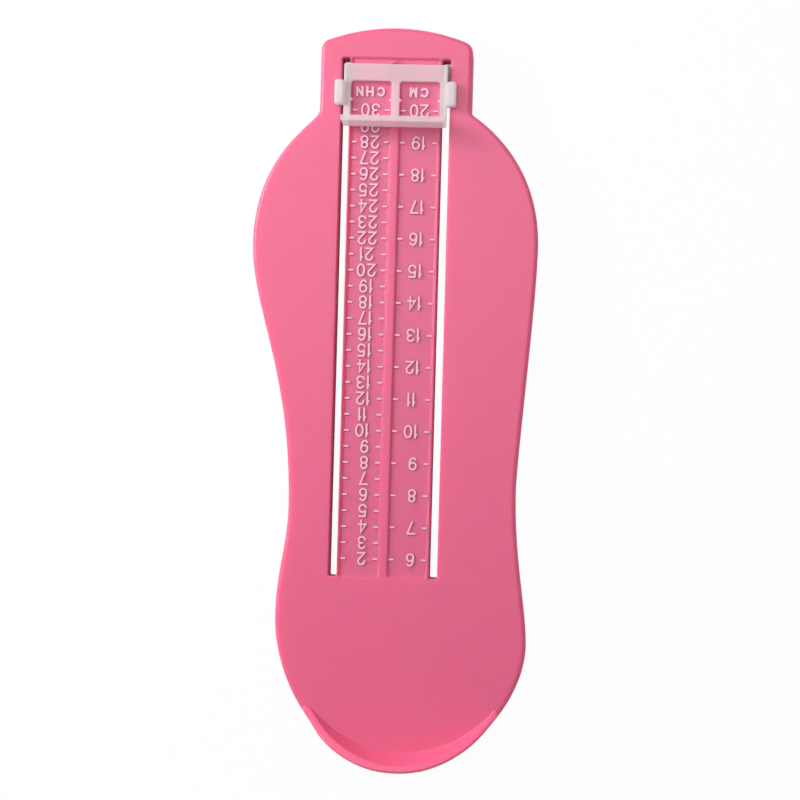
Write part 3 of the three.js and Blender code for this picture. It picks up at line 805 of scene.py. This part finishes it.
LETTERS = {
    "C": [("open", ellipse_arc(0, 0, 0.5, 0.5, 0.5, 3.5, 20))],
    "H": [("open", run((-0.5, -0.5), (-0.5, 0.5))), ("open", run((0.5, -0.5), (0.5, 0.5))),
          ("open", run((-0.5, 0.02), (0.5, 0.02)))],
    "N": [("open", run((-0.5, -0.5), (-0.5, 0.5))), ("open", run((0.5, -0.5), (0.5, 0.5))),
          ("inner", run((-0.5, 0.5), (0.5, -0.5)))],
    "M": [("open", run((-0.5, -0.5), (-0.5, 0.5))), ("open", run((0.5, -0.5), (0.5, 0.5))),
          ("inner", run((-0.5, 0.5), (0.0, -0.42), (0.5, 0.5)))],
}


def raised_stroke(kind, path, width, low, high):
    """Raised bar along a path, with sloped shoulders and a flat top.

    Its cross-section is carried along the path, square to it, and stretched at a corner by one
    over the cosine of half the turn. A ring closes on itself, an open stroke runs on by half its
    width at both ends, and an inner stroke ends inside its neighbours. Returns points, faces and
    which faces are tops.
    """
    closed = kind == "ring"
    if kind == "open":
        path = path.copy()
        for end, next_to in ((0, 1), (-1, -2)):
            ahead = path[end] - path[next_to]
            path[end] += ahead / np.linalg.norm(ahead) * (width / 2)
    if closed:
        path = path[:-1]
        before = np.roll(path, 1, axis=0)
        after = np.roll(path, -1, axis=0)
    else:
        before = np.concatenate([2 * path[:1] - path[1:2], path[:-1]])
        after = np.concatenate([path[1:], 2 * path[-1:] - path[-2:-1]])
    a = path - before
    b = after - path
    a /= np.linalg.norm(a, axis=1)[:, None]
    b /= np.linalg.norm(b, axis=1)[:, None]
    along = a + b
    along /= np.linalg.norm(along, axis=1)[:, None]
    side = np.stack([along[:, 1], -along[:, 0]], 1)
    stretch = 1 / np.maximum(LEAST_COSINE, (along * a).sum(1))
    half = width / 2
    shoulder = min(SHOULDER, half * SHOULDER_SHARE)
    foot = half + FOOT_FLARE
    across = np.array([-foot, -half, -half + shoulder, half - shoulder, half, foot])
    z = np.array([low, high - shoulder, high, high, high - shoulder, low])
    plan = path[:, None] + side[:, None] * (across[None, :, None] * stretch[:, None, None])
    points = at_height(plan, z[None, :]).reshape(-1, 3)
    rows = len(path)
    quads = grid_quads(rows, STROKE_POINTS, wrap_rows=closed, wrap_columns=True)
    faces = [tuple(quad) for quad in quads.tolist()]
    # A top lies between the third and the fourth point of the cross-section
    tops = (quads[:, :2] % STROKE_POINTS == (2, 3)).all(1).tolist()
    if not closed:
        end = (rows - 1) * STROKE_POINTS
        faces += [tuple(range(STROKE_POINTS - 1, -1, -1)), tuple(range(end, end + STROKE_POINTS))]
        tops += [False, False]
    return points, faces, tops


class Marks:
    """Gathers raised shapes, each with its points, its faces and which faces are tops."""

    def __init__(self):
        self.points, self.faces, self.tops, self.count = [], [], [], 0

    def add(self, shape, x=0.0, y=0.0):
        """Adds a shape at a place."""
        points, faces, tops = shape
        self.points.append(points + np.array([x, y, 0.0]))
        self.faces += [tuple(i + self.count for i in face) for face in faces]
        self.tops += tops
        self.count += len(points)

    def write(self, text, shapes, widths, gap, middle_x, y):
        """Adds glyphs side by side from +X to -X, because they are turned round."""
        total = sum(widths[sign] for sign in text) + gap * (len(text) - 1)
        right = middle_x + total / 2
        for sign in text:
            self.add(shapes[sign], right - widths[sign] / 2, y)
            right -= widths[sign] + gap

    def shape(self):
        """All that was added, as one shape."""
        return np.concatenate(self.points), self.faces, self.tops

    def build(self, name, materials):
        """A mesh object with the first material on the sides and the second on the tops."""
        points, faces, tops = self.shape()
        return make_object(name, to_frame(points), faces, materials, np.array(tops, int), smooth=False)


def glyph(strokes, width, height, stroke, low, high):
    """One numeral or letter round 0, 0, turned by half a turn so that it reads from the toe end."""
    size = np.array([width - stroke, height - stroke])
    marks = Marks()
    for step, (kind, path) in enumerate(strokes):
        marks.add(raised_stroke(kind, -path * size, stroke, low, high - step * STEP_DOWN))
    return marks.shape()


def mark_heights(plate, scale):
    """Heights of the foot and the top of a mark."""
    floor = (plate_high.z - plate.stop_height - plate.panel_depth) / MM
    return floor - MARK_SINK, floor + scale.mark_height / MM


def build_numerals(plate, scale, materials):
    """Numbers of both scales."""
    low, high = mark_heights(plate, scale)
    height = scale.numeral_height / MM
    wide = scale.numeral_width / MM
    stroke = scale.stroke / MM
    widths = {digit: NARROW_ONE if digit == "1" else wide for digit in NUMERALS}
    shapes = {
        digit: glyph(strokes, widths[digit], height, stroke, low, high)
        for digit, strokes in NUMERALS.items()
    }
    marks = Marks()
    for places, middle_x in (
        (CENTIMETRES, PANEL_MIDDLE_X + CENTIMETRE_SHIFT), (SIZES, SIZE_SHIFT - PANEL_MIDDLE_X)
    ):
        for number, y in places.items():
            text = str(number)
            shift = SINGLE_SHIFT if len(text) == 1 else 0
            marks.write(text, shapes, widths, NUMERAL_GAP, middle_x + shift, y)
    return marks.build("scale_numerals", materials)


def build_ticks(plate, scale, materials):
    """Two short bars beside each number, one at each side of its panel."""
    low, high = mark_heights(plate, scale)
    half = TICK_LENGTH / 2
    bar = raised_stroke("inner", run((-half, 0), (half, 0)), TICK_WIDTH, low, high)
    inner = RIDGE_X + TICK_INSET + half
    outer = PANEL_OUTER_X - TICK_INSET - half
    marks = Marks()
    for places, side in ((CENTIMETRES, 1), (SIZES, -1)):
        for y in places.values():
            for x in (inner, outer):
                marks.add(bar, side * x, y)
    return marks.build("scale_ticks", materials)


def build_names(plate, scale, materials):
    """Names of the two scales, in plain capitals beside the ends of the scales."""
    low, high = mark_heights(plate, scale)
    height = scale.name_height / MM
    stroke = scale.name_stroke / MM
    shapes = {
        letter: glyph(strokes, LETTER_WIDTHS[letter], height, stroke, low, high)
        for letter, strokes in LETTERS.items()
    }
    marks = Marks()
    for text, middle_x in NAME_PLACES.items():
        marks.write(text, shapes, LETTER_WIDTHS, LETTER_GAP, middle_x, NAME_Y)
    return marks.build("scale_names", materials)


def build_ring(plate, scale, material):
    """Raised ring with a half-round cross-section, turned round an upright axis.

    The radius is R + w cos a and the height is the foot's plus h sin a, for a from 0 to a half
    turn.
    """
    low, high = mark_heights(plate, scale)
    a = np.linspace(0, math.pi, RING_STEPS)[None, :, None]
    b = np.linspace(0, 2 * math.pi, RING_STATIONS, endpoint=False)[:, None]
    around = np.stack([np.cos(b), np.sin(b)], -1)
    plan = np.array([0, RING_Y]) + (RING_RADIUS + RING_HALF_WIDTH * np.cos(a)) * around
    height = low + (high - low + RING_EXTRA) * np.sin(a[0, :, 0])
    points = at_height(plan, height[None, :]).reshape(-1, 3)
    quads = grid_quads(RING_STATIONS, RING_STEPS, wrap_rows=True, wrap_columns=True)
    return make_object("toe_ring", to_frame(points), quads.tolist(), [material])


# Toe slider


def slider_box():
    """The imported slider's corners in scale coordinates and millimetres."""
    shift = np.append(PLATE_MIDDLE - OUTLINE_MIDDLE * MM, 0.0)
    return (np.array(slider_low) - shift) / MM, (np.array(slider_high) - shift) / MM


def near(values, *targets):
    """Which values equal one of the targets."""
    return np.isclose(values[:, None], np.array(targets)[None, :], rtol=0, atol=1e-6).any(1)


def build_slider_frame(plate, slider, materials):
    """Frame and toe stop as one stepped plate.

    Four points of its windows' edges are drawn inward as pointers. The corners of the frame and of
    its windows are drawn onto their arcs.
    """
    low, high = slider_box()
    under = (plate_high.z - plate.stop_height) / MM + SLIDER_REST
    over = under + slider.frame_thickness / MM
    ys = np.array([
        0, FRAME_CORNER, SLIDER_STOP, WINDOW_HEEL, WINDOW_HEEL + WINDOW_CORNER,
        POINTER - POINTER_HALF, POINTER, POINTER + POINTER_HALF,
        WINDOW_TOE - WINDOW_CORNER, WINDOW_TOE, FRAME_LENGTH - FRAME_CORNER, FRAME_LENGTH,
    ])
    half = np.array([
        WINDOW_INNER_X, WINDOW_INNER_X + WINDOW_CORNER, WINDOW_OUTER_X - WINDOW_CORNER,
        WINDOW_OUTER_X, FRAME_HALF - FRAME_CORNER, FRAME_HALF,
    ])
    xs = np.concatenate([-half[::-1], half])
    x = np.abs((xs[:-1] + xs[1:]) / 2)[:, None]
    y = ((ys[:-1] + ys[1:]) / 2)[None, :]
    window = (x > WINDOW_INNER_X) & (x < WINDOW_OUTER_X) & (y > WINDOW_HEEL) & (y < WINDOW_TOE)
    top = np.where(window, under, np.where(y < SLIDER_STOP, high[2], over))
    bottom = np.full(top.shape, under)

    outer_xs = np.concatenate([[xs[0] - 1], xs, [xs[-1] + 1]])
    outer_ys = np.concatenate([[ys[0] - 1], ys, [ys[-1] + 1]])
    top, bottom = (np.pad(heights, 1, constant_values=under) for heights in (top, bottom))
    points = stepped_plate(outer_xs, outer_ys, top, bottom).reshape(-1, 3)

    side = np.sign(points[:, 0])
    across = np.abs(points[:, 0])
    along = points[:, 1].copy()
    outward = side * (near(across, WINDOW_INNER_X) * 1.0 - near(across, WINDOW_OUTER_X))
    at_window = near(along, WINDOW_HEEL, WINDOW_TOE) & (outward != 0)
    at_frame = near(along, 0, FRAME_LENGTH) & near(across, FRAME_HALF)
    window_pull = CORNER_PULL * WINDOW_CORNER * at_window
    frame_pull = CORNER_PULL * FRAME_CORNER * at_frame
    points[:, 0] += outward * (POINTER_LENGTH * near(along, POINTER) + window_pull)
    points[:, 0] -= side * frame_pull
    points[:, 1] += np.where(along < FRAME_LENGTH / 2, 1, -1) * (window_pull + frame_pull)
    points[:, 1] += low[1]
    piece = make_shell("toe_slider_frame", points, materials)
    round_edges(piece, slider.rounding)
    return piece


def rounded_block(low, high, radius, steps=BLOCK_STEPS):
    """Block with round edges: the middle, plus the sign of each direction n times the half size
    less the radius, plus radius * n, where n goes over a sphere octant by octant."""
    low, high = np.array(low, float), np.array(high, float)
    middle, half = (low + high) / 2, (high - low) / 2 - radius
    quarter = np.linspace(0, math.pi / 2, steps + 1)
    around = np.concatenate([quarter + k * math.pi / 2 for k in range(4)])
    corner = np.repeat(np.arange(4), steps + 1)
    rise = np.concatenate([quarter - math.pi / 2, quarter])
    level = np.repeat([-1, 1], steps + 1)
    rise, around = np.meshgrid(rise, around, indexing="ij")
    level, corner = np.meshgrid(level, corner, indexing="ij")
    n = np.stack([np.cos(rise) * np.cos(around), np.cos(rise) * np.sin(around), np.sin(rise)], -1)
    sign_x = np.where((corner == 0) | (corner == 3), 1, -1)
    sign_y = np.where(corner < 2, 1, -1)
    points = middle + half * np.stack([sign_x, sign_y, level], -1) + radius * n
    rows, columns = points.shape[:2]
    quads = grid_quads(rows, columns, wrap_columns=True)
    caps = np.array([
        [(rows - 1) * columns + k * (steps + 1) for k in range(4)],
        [k * (steps + 1) for k in (3, 2, 1, 0)],
    ])
    return points.reshape(-1, 3), np.concatenate([quads, caps])


def build_tabs(plate, slider, materials):
    """Thumb tabs, one at each end of the frame.

    A cross-section in X and Z is carried along Y: from the frame it rises in a smooth step, then
    runs flat to a rounded outer edge. Near both ends it shrinks by r - sqrt(r^2 - d^2), where d is
    how far it lies inside the rounding with radius r.
    """
    low, high = slider_box()
    plate_top = (plate_high.z - plate.stop_height) / MM
    radius = slider.tab_rounding / MM
    foot = plate_top + SLIDER_REST
    step_foot = foot + slider.frame_thickness / MM - TAB_SINK
    peak = plate_top + slider.tab_height / MM
    reach = high[0]
    rise = np.linspace(0, 1, TAB_STEPS)
    a = np.linspace(math.pi / 2, -math.pi / 2, TAB_STEPS)
    round_z = np.where(a > 0, peak - radius, foot + radius)
    section = np.concatenate([
        np.stack([TAB_STEP_FROM + (TAB_STEP_TO - TAB_STEP_FROM) * rise,
                  step_foot + (peak - step_foot) * rise**2 * (3 - 2 * rise)], 1),
        np.stack([reach - radius + radius * np.cos(a), round_z + radius * np.sin(a)], 1),
        [[TAB_STEP_FROM, foot]],
    ])
    middle = np.array([(TAB_STEP_FROM + reach) / 2, foot + TAB_SINK])
    half = (TAB_TO - TAB_FROM) / 2
    turn = np.linspace(0, math.pi / 2, TAB_STEPS)
    inset = radius * (1 - np.sin(turn))
    along = half - radius + radius * np.cos(turn)
    along = np.concatenate([along, -along[::-1]])
    inset = np.concatenate([inset, inset[::-1]])
    shape = section[None] - np.sign(section - middle)[None] * inset[:, None, None]
    shape[..., 1] = np.maximum(shape[..., 1], foot)
    y = low[1] + (TAB_FROM + TAB_TO) / 2 + along
    count, columns = shape.shape[:2]
    ends = [np.arange(columns), np.arange(columns)[::-1] + (count - 1) * columns]
    outlines = [*grid_quads(count, columns, wrap_columns=True), *ends]
    points, faces = [], []
    for side in (-1, 1):
        tab = np.stack(np.broadcast_arrays(side * shape[..., 0], y[:, None], shape[..., 1]), -1)
        start = count * columns * len(points)
        faces += [(outline[::side] + start).tolist() for outline in outlines]
        points.append(tab.reshape(-1, 3))
    piece = make_object("thumb_tabs", to_frame(np.concatenate(points)), faces, materials)
    keep_flat(piece)
    return piece


def build_legs(plate, slider, materials):
    """Two legs that go down through the slots, each with a hook under the slot wall.

    A leg's neck hangs under the frame. Below the plate's face it widens, and its foot bears the
    hook. Each block's hidden end lies inside its neighbour, and no two blocks share a plane.
    """
    low, _ = slider_box()
    foot = low[2]
    plate_top = (plate_high.z - plate.stop_height) / MM
    shoulder = plate_top - LEG_SHOULDER
    frame_middle = plate_top + SLIDER_REST + slider.frame_thickness / MM / 2
    middle = (LEG_FROM + LEG_TO) / 2
    neck = (
        (LEG_INNER_X + LEG_STEP, FRAME_HALF - LEG_STEP),
        (LEG_FROM + LEG_STEP, FRAME_LENGTH - LEG_STEP),
        (shoulder - 2 * LEG_ROUNDING, frame_middle),
    )
    leg = ((LEG_INNER_X, LEG_OUTER_X), (LEG_FROM, LEG_TO), (foot + LEG_STEP, shoulder))
    hook = (
        (LEG_INNER_X + LEG_STEP, SLOT_OUTER_X + HOOK_REACH),
        (middle - HOOK_LENGTH / 2, middle + HOOK_LENGTH / 2),
        (foot, foot + HOOK_HEIGHT),
    )
    points, quads, count = [], [], 0
    for side in (-1, 1):
        for x, y, z in (neck, leg, hook):
            x = sorted((side * x[0], side * x[1]))
            y = (low[1] + y[0], low[1] + y[1])
            block, block_quads = rounded_block(*zip(x, y, z), LEG_ROUNDING)
            points.append(block)
            quads.append(block_quads + count)
            count += len(block)
    piece = make_shell("slider_legs", np.concatenate(points), materials, np.concatenate(quads))
    keep_flat(piece)
    return piece


# Finishes


def linear(hex_colour):
    """sRGB hex to linear red, green, blue and alpha 1."""
    channels = [int(hex_colour[i:i + 2], 16) / 255 for i in (0, 2, 4)]
    return [c / 12.92 if c <= 0.04045 else ((c + 0.055) / 1.055) ** 2.4 for c in channels] + [1.0]


def add_node(tree, kind, settings=None, links=None):
    """Adds a node, sets its attributes and inputs by name, and links its inputs to other outputs."""
    node = tree.nodes.new(kind)
    for key, value in (settings or {}).items():
        if isinstance(key, str) and hasattr(node, key):
            setattr(node, key, value)
        else:
            node.inputs[key].default_value = value
    for key, socket in (links or {}).items():
        tree.links.new(socket, node.inputs[key])
    return node


def new_material(name):
    """An empty material and its node tree."""
    material = bpy.data.materials.new(name)
    material.use_nodes = True
    material.node_tree.nodes.clear()
    return material, material.node_tree


def finish_material(tree, shader):
    """Makes a shader the surface of the material."""
    add_node(tree, "ShaderNodeOutputMaterial", links={"Surface": shader.outputs[0]})


def fine_grain(tree, place, grains_per_mm, strength):
    """Normal of a surface with a fine texture, from noise on the object's own coordinates."""
    grain = add_node(
        tree, "ShaderNodeTexNoise", {"Scale": grains_per_mm / MM, "Detail": 2.0}, {"Vector": place})
    bump = add_node(
        tree, "ShaderNodeBump", {"Strength": strength, "Distance": GRAIN_DEPTH * MM},
        {"Height": grain.outputs["Fac"]})
    return bump.outputs["Normal"]


def patchy(tree, place, colour, patches_per_mm):
    """Colour that is darker in soft patches: colour * (1 - depth * noise)."""
    patches = add_node(
        tree, "ShaderNodeTexNoise", {"Scale": patches_per_mm / MM, "Detail": 3.0}, {"Vector": place})
    full = linear(colour)
    dark = [channel * (1 - PATCH_DEPTH) for channel in full[:3]] + full[3:]
    mix = add_node(
        tree, "ShaderNodeMix", {"data_type": "RGBA", 6: full, 7: dark}, {0: patches.outputs["Fac"]})
    return mix.outputs[2]


def satin_abs(name, colour):
    """Moulded ABS with a satin grain: an even colour, a soft sheen and a very fine texture.

    Light goes a few millimetres into it, red light the furthest, so shaded edges stay warm.
    """
    material, tree = new_material(name)
    place = add_node(tree, "ShaderNodeTexCoord").outputs["Object"]
    shader = add_node(
        tree, "ShaderNodeBsdfPrincipled",
        {"Base Color": linear(colour), "Roughness": 0.4, "IOR": 1.5, "Subsurface Weight": 0.9,
         "Subsurface Scale": 0.004, "Subsurface Radius": (1.0, 0.06, 0.12)},
        {"Normal": fine_grain(tree, place, ABS_GRAIN, 0.05)})
    finish_material(tree, shader)
    return material


def pale_print(name, colour):
    """Hot-stamped print on the raised tops: pale, smooth and laid on a little unevenly."""
    material, tree = new_material(name)
    place = add_node(tree, "ShaderNodeTexCoord").outputs["Object"]
    shader = add_node(
        tree, "ShaderNodeBsdfPrincipled", {"Roughness": 0.4, "IOR": 1.5},
        {"Base Color": patchy(tree, place, colour, PRINT_PATCHES),
         "Normal": fine_grain(tree, place, PRINT_GRAIN, 0.04)})
    finish_material(tree, shader)
    return material


def milky_polypropylene(name, colour, haze):
    """Natural polypropylene, cloudy inside: each face lets part of the light straight through.

    The haze is the share that is scattered, half of it back and half of it onward.
    """
    material, tree = new_material(name)
    place = add_node(tree, "ShaderNodeTexCoord").outputs["Object"]
    scattered = haze / 2
    cloudy = patchy(tree, place, colour, MILKY_PATCHES)
    surface = add_node(
        tree, "ShaderNodeBsdfPrincipled",
        {"Roughness": 0.34, "IOR": 1.49, "Alpha": scattered / (1 - scattered)},
        {"Base Color": cloudy, "Normal": fine_grain(tree, place, MILKY_GRAIN, 0.06)})
    onward = add_node(tree, "ShaderNodeBsdfTranslucent", links={"Color": cloudy})
    mix = add_node(
        tree, "ShaderNodeMixShader", {"Fac": scattered}, {1: surface.outputs[0], 2: onward.outputs[0]})
    finish_material(tree, mix)
    return material


def studio_floor(name, colour):
    """Matt white floor, which the camera sees almost white with a faint shadow."""
    material, tree = new_material(name)
    matt = add_node(tree, "ShaderNodeBsdfDiffuse", {"Color": linear(colour)})
    glow = add_node(tree, "ShaderNodeEmission", {"Color": (1, 1, 1, 1), "Strength": 1.0})
    path = add_node(tree, "ShaderNodeLightPath")
    seen = add_node(
        tree, "ShaderNodeMath", {"operation": "MAXIMUM"},
        {0: path.outputs["Is Camera Ray"], 1: path.outputs["Is Transmission Ray"]})
    share = add_node(
        tree, "ShaderNodeMath", {"operation": "MULTIPLY", 1: FLOOR_GLOW}, {0: seen.outputs[0]})
    mix = add_node(
        tree, "ShaderNodeMixShader",
        links={0: share.outputs[0], 1: matt.outputs[0], 2: glow.outputs[0]})
    finish_material(tree, mix)
    return material


# Stage


def build_camera(stage, plate):
    """Camera over the plate, turned and shifted as in the photograph."""
    data = bpy.data.cameras.new("camera")
    data.lens = stage.lens
    data.sensor_width = SENSOR_WIDTH
    data.shift_x = (IMAGE_SIZE / 2 - PRINCIPAL_POINT[0]) / IMAGE_SIZE
    data.shift_y = (PRINCIPAL_POINT[1] - IMAGE_SIZE / 2) / IMAGE_SIZE
    camera = bpy.data.objects.new("camera", data)
    place = to_frame([*CAMERA_OVER, 0.0])
    place[2] = plate_high.z - plate.stop_height + stage.camera_height
    x, y, z = (math.radians(a) for a in CAMERA_TURN)
    turn = Matrix.Rotation(z, 4, "Z") @ Matrix.Rotation(y, 4, "Y") @ Matrix.Rotation(x, 4, "X")
    camera.matrix_world = Matrix.Translation(Vector(place)) @ turn
    bpy.context.scene.collection.objects.link(camera)
    bpy.context.scene.camera = camera


def build_light(name, place, size, power):
    """Square soft light that faces the origin, under the plate's middle."""
    data = bpy.data.lights.new(name, "AREA")
    data.shape = "SQUARE"
    data.size = size
    data.energy = power
    light = bpy.data.objects.new(name, data)
    light.location = place
    light.rotation_euler = (-Vector(place)).to_track_quat("-Z", "Y").to_euler()
    bpy.context.scene.collection.objects.link(light)


def build_floor(material):
    """Wide flat floor under the plate."""
    corners = [(-1, -1, 0), (1, -1, 0), (1, 1, 0), (-1, 1, 0)]
    floor = make_object("studio_floor", FLOOR_HALF * np.array(corners), [(0, 1, 2, 3)], [material])


def build_world(strength):
    """Even fill from all sides, which the camera sees as plain white."""
    world = bpy.data.worlds.new("studio")
    world.use_nodes = True
    tree = world.node_tree
    tree.nodes.clear()
    path = add_node(tree, "ShaderNodeLightPath")
    even = add_node(tree, "ShaderNodeBackground", {"Color": (1, 1, 1, 1), "Strength": strength})
    white = add_node(tree, "ShaderNodeBackground", {"Color": (1, 1, 1, 1), "Strength": 1.0})
    mix = add_node(
        tree, "ShaderNodeMixShader",
        links={0: path.outputs["Is Camera Ray"], 1: even.outputs[0], 2: white.outputs[0]})
    add_node(tree, "ShaderNodeOutputWorld", links={"Surface": mix.outputs[0]})
    bpy.context.scene.world = world


# Operators


def dress(piece, body, node=None):
    """Puts a piece on its body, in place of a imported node."""
    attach(piece, body)
    if node:
        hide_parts(node)


def finish(name, maker, *values):
    """The named material, made once."""
    return bpy.data.materials.get(name) or maker(name, *values)


class GAUGE_OT_foot_plate(bpy.types.Operator):
    """Build the foot plate with its heel stop, slots, panels and toe ring"""

    bl_idname = "gauge.foot_plate"
    bl_label = "Foot plate"

    def execute(self, context):
        scene = context.scene
        material = finish("satin pink ABS", satin_abs, scene.gauge_finish.pink)
        dress(build_plate(scene.gauge_plate, material), "foot_plate", "foot_plate")
        dress(build_ring(scene.gauge_plate, scene.gauge_scale, material), "foot_plate")
        return {"FINISHED"}


class GAUGE_OT_scales(bpy.types.Operator):
    """Build the raised numerals, ticks and names of both scales"""

    bl_idname = "gauge.scales"
    bl_label = "Scales"

    def execute(self, context):
        scene = context.scene
        materials = [
            finish("satin pink ABS", satin_abs, scene.gauge_finish.pink),
            finish("pale print", pale_print, scene.gauge_finish.print_ink),
        ]
        for build in (build_numerals, build_ticks, build_names):
            dress(build(scene.gauge_plate, scene.gauge_scale, materials), "foot_plate")
        return {"FINISHED"}


class GAUGE_OT_toe_slider(bpy.types.Operator):
    """Build the toe slider with its windows, pointers, toe stop, thumb tabs and hooked legs"""

    bl_idname = "gauge.toe_slider"
    bl_label = "Toe slider"

    def execute(self, context):
        scene = context.scene
        finishes = scene.gauge_finish
        thin = finish("milky polypropylene", milky_polypropylene, finishes.milk, finishes.thin_haze)
        thick = finish(
            "thick milky polypropylene", milky_polypropylene, finishes.milk, finishes.thick_haze)
        settings = (scene.gauge_plate, scene.gauge_slider)
        dress(build_slider_frame(*settings, [thin]), "toe_slider", "toe_slider")
        for build in (build_tabs, build_legs):
            dress(build(*settings, [thick]), "toe_slider")
        return {"FINISHED"}


class GAUGE_OT_stage(bpy.types.Operator):
    """Set up the camera, the floor and the lights"""

    bl_idname = "gauge.stage"
    bl_label = "Stage"

    def execute(self, context):
        scene = context.scene
        stage = scene.gauge_stage
        build_camera(stage, scene.gauge_plate)
        build_floor(finish("studio floor", studio_floor, scene.gauge_finish.floor))
        build_light("key", KEY_PLACE, KEY_SIZE, stage.key_power)
        build_light("overhead", OVERHEAD_PLACE, OVERHEAD_SIZE, stage.overhead_power)
        build_world(stage.fill_strength)
        scene.view_settings.view_transform = "Standard"
        return {"FINISHED"}


class GAUGE_PT_panel(bpy.types.Panel):
    """Lists the steps that build the foot gauge"""

    bl_idname = "GAUGE_PT_panel"
    bl_label = "Foot gauge"
    bl_space_type = "VIEW_3D"
    bl_region_type = "UI"
    bl_category = "Foot gauge"

    def draw(self, context):
        for operator in OPERATORS:
            self.layout.operator(operator.bl_idname)


SETTINGS = {
    "gauge_plate": PlateSettings,
    "gauge_scale": ScaleSettings,
    "gauge_slider": SliderSettings,
    "gauge_finish": FinishSettings,
    "gauge_stage": StageSettings,
}
OPERATORS = (GAUGE_OT_stage, GAUGE_OT_foot_plate, GAUGE_OT_scales, GAUGE_OT_toe_slider)


def register():
    """Registers the settings, the operators and the panel."""
    for cls in (*SETTINGS.values(), *OPERATORS, GAUGE_PT_panel):
        bpy.utils.register_class(cls)
    for name, group in SETTINGS.items():
        setattr(bpy.types.Scene, name, PointerProperty(type=group))


def unregister():
    """Takes them away again, last first."""
    for name in SETTINGS:
        delattr(bpy.types.Scene, name)
    for cls in (GAUGE_PT_panel, *reversed(OPERATORS), *reversed(SETTINGS.values())):
        bpy.utils.unregister_class(cls)


def main():
    """Builds everything."""
    register()
    bpy.ops.gauge.stage()
    bpy.ops.gauge.foot_plate()
    bpy.ops.gauge.scales()
    bpy.ops.gauge.toe_slider()


if __name__ == "__main__":
    main()
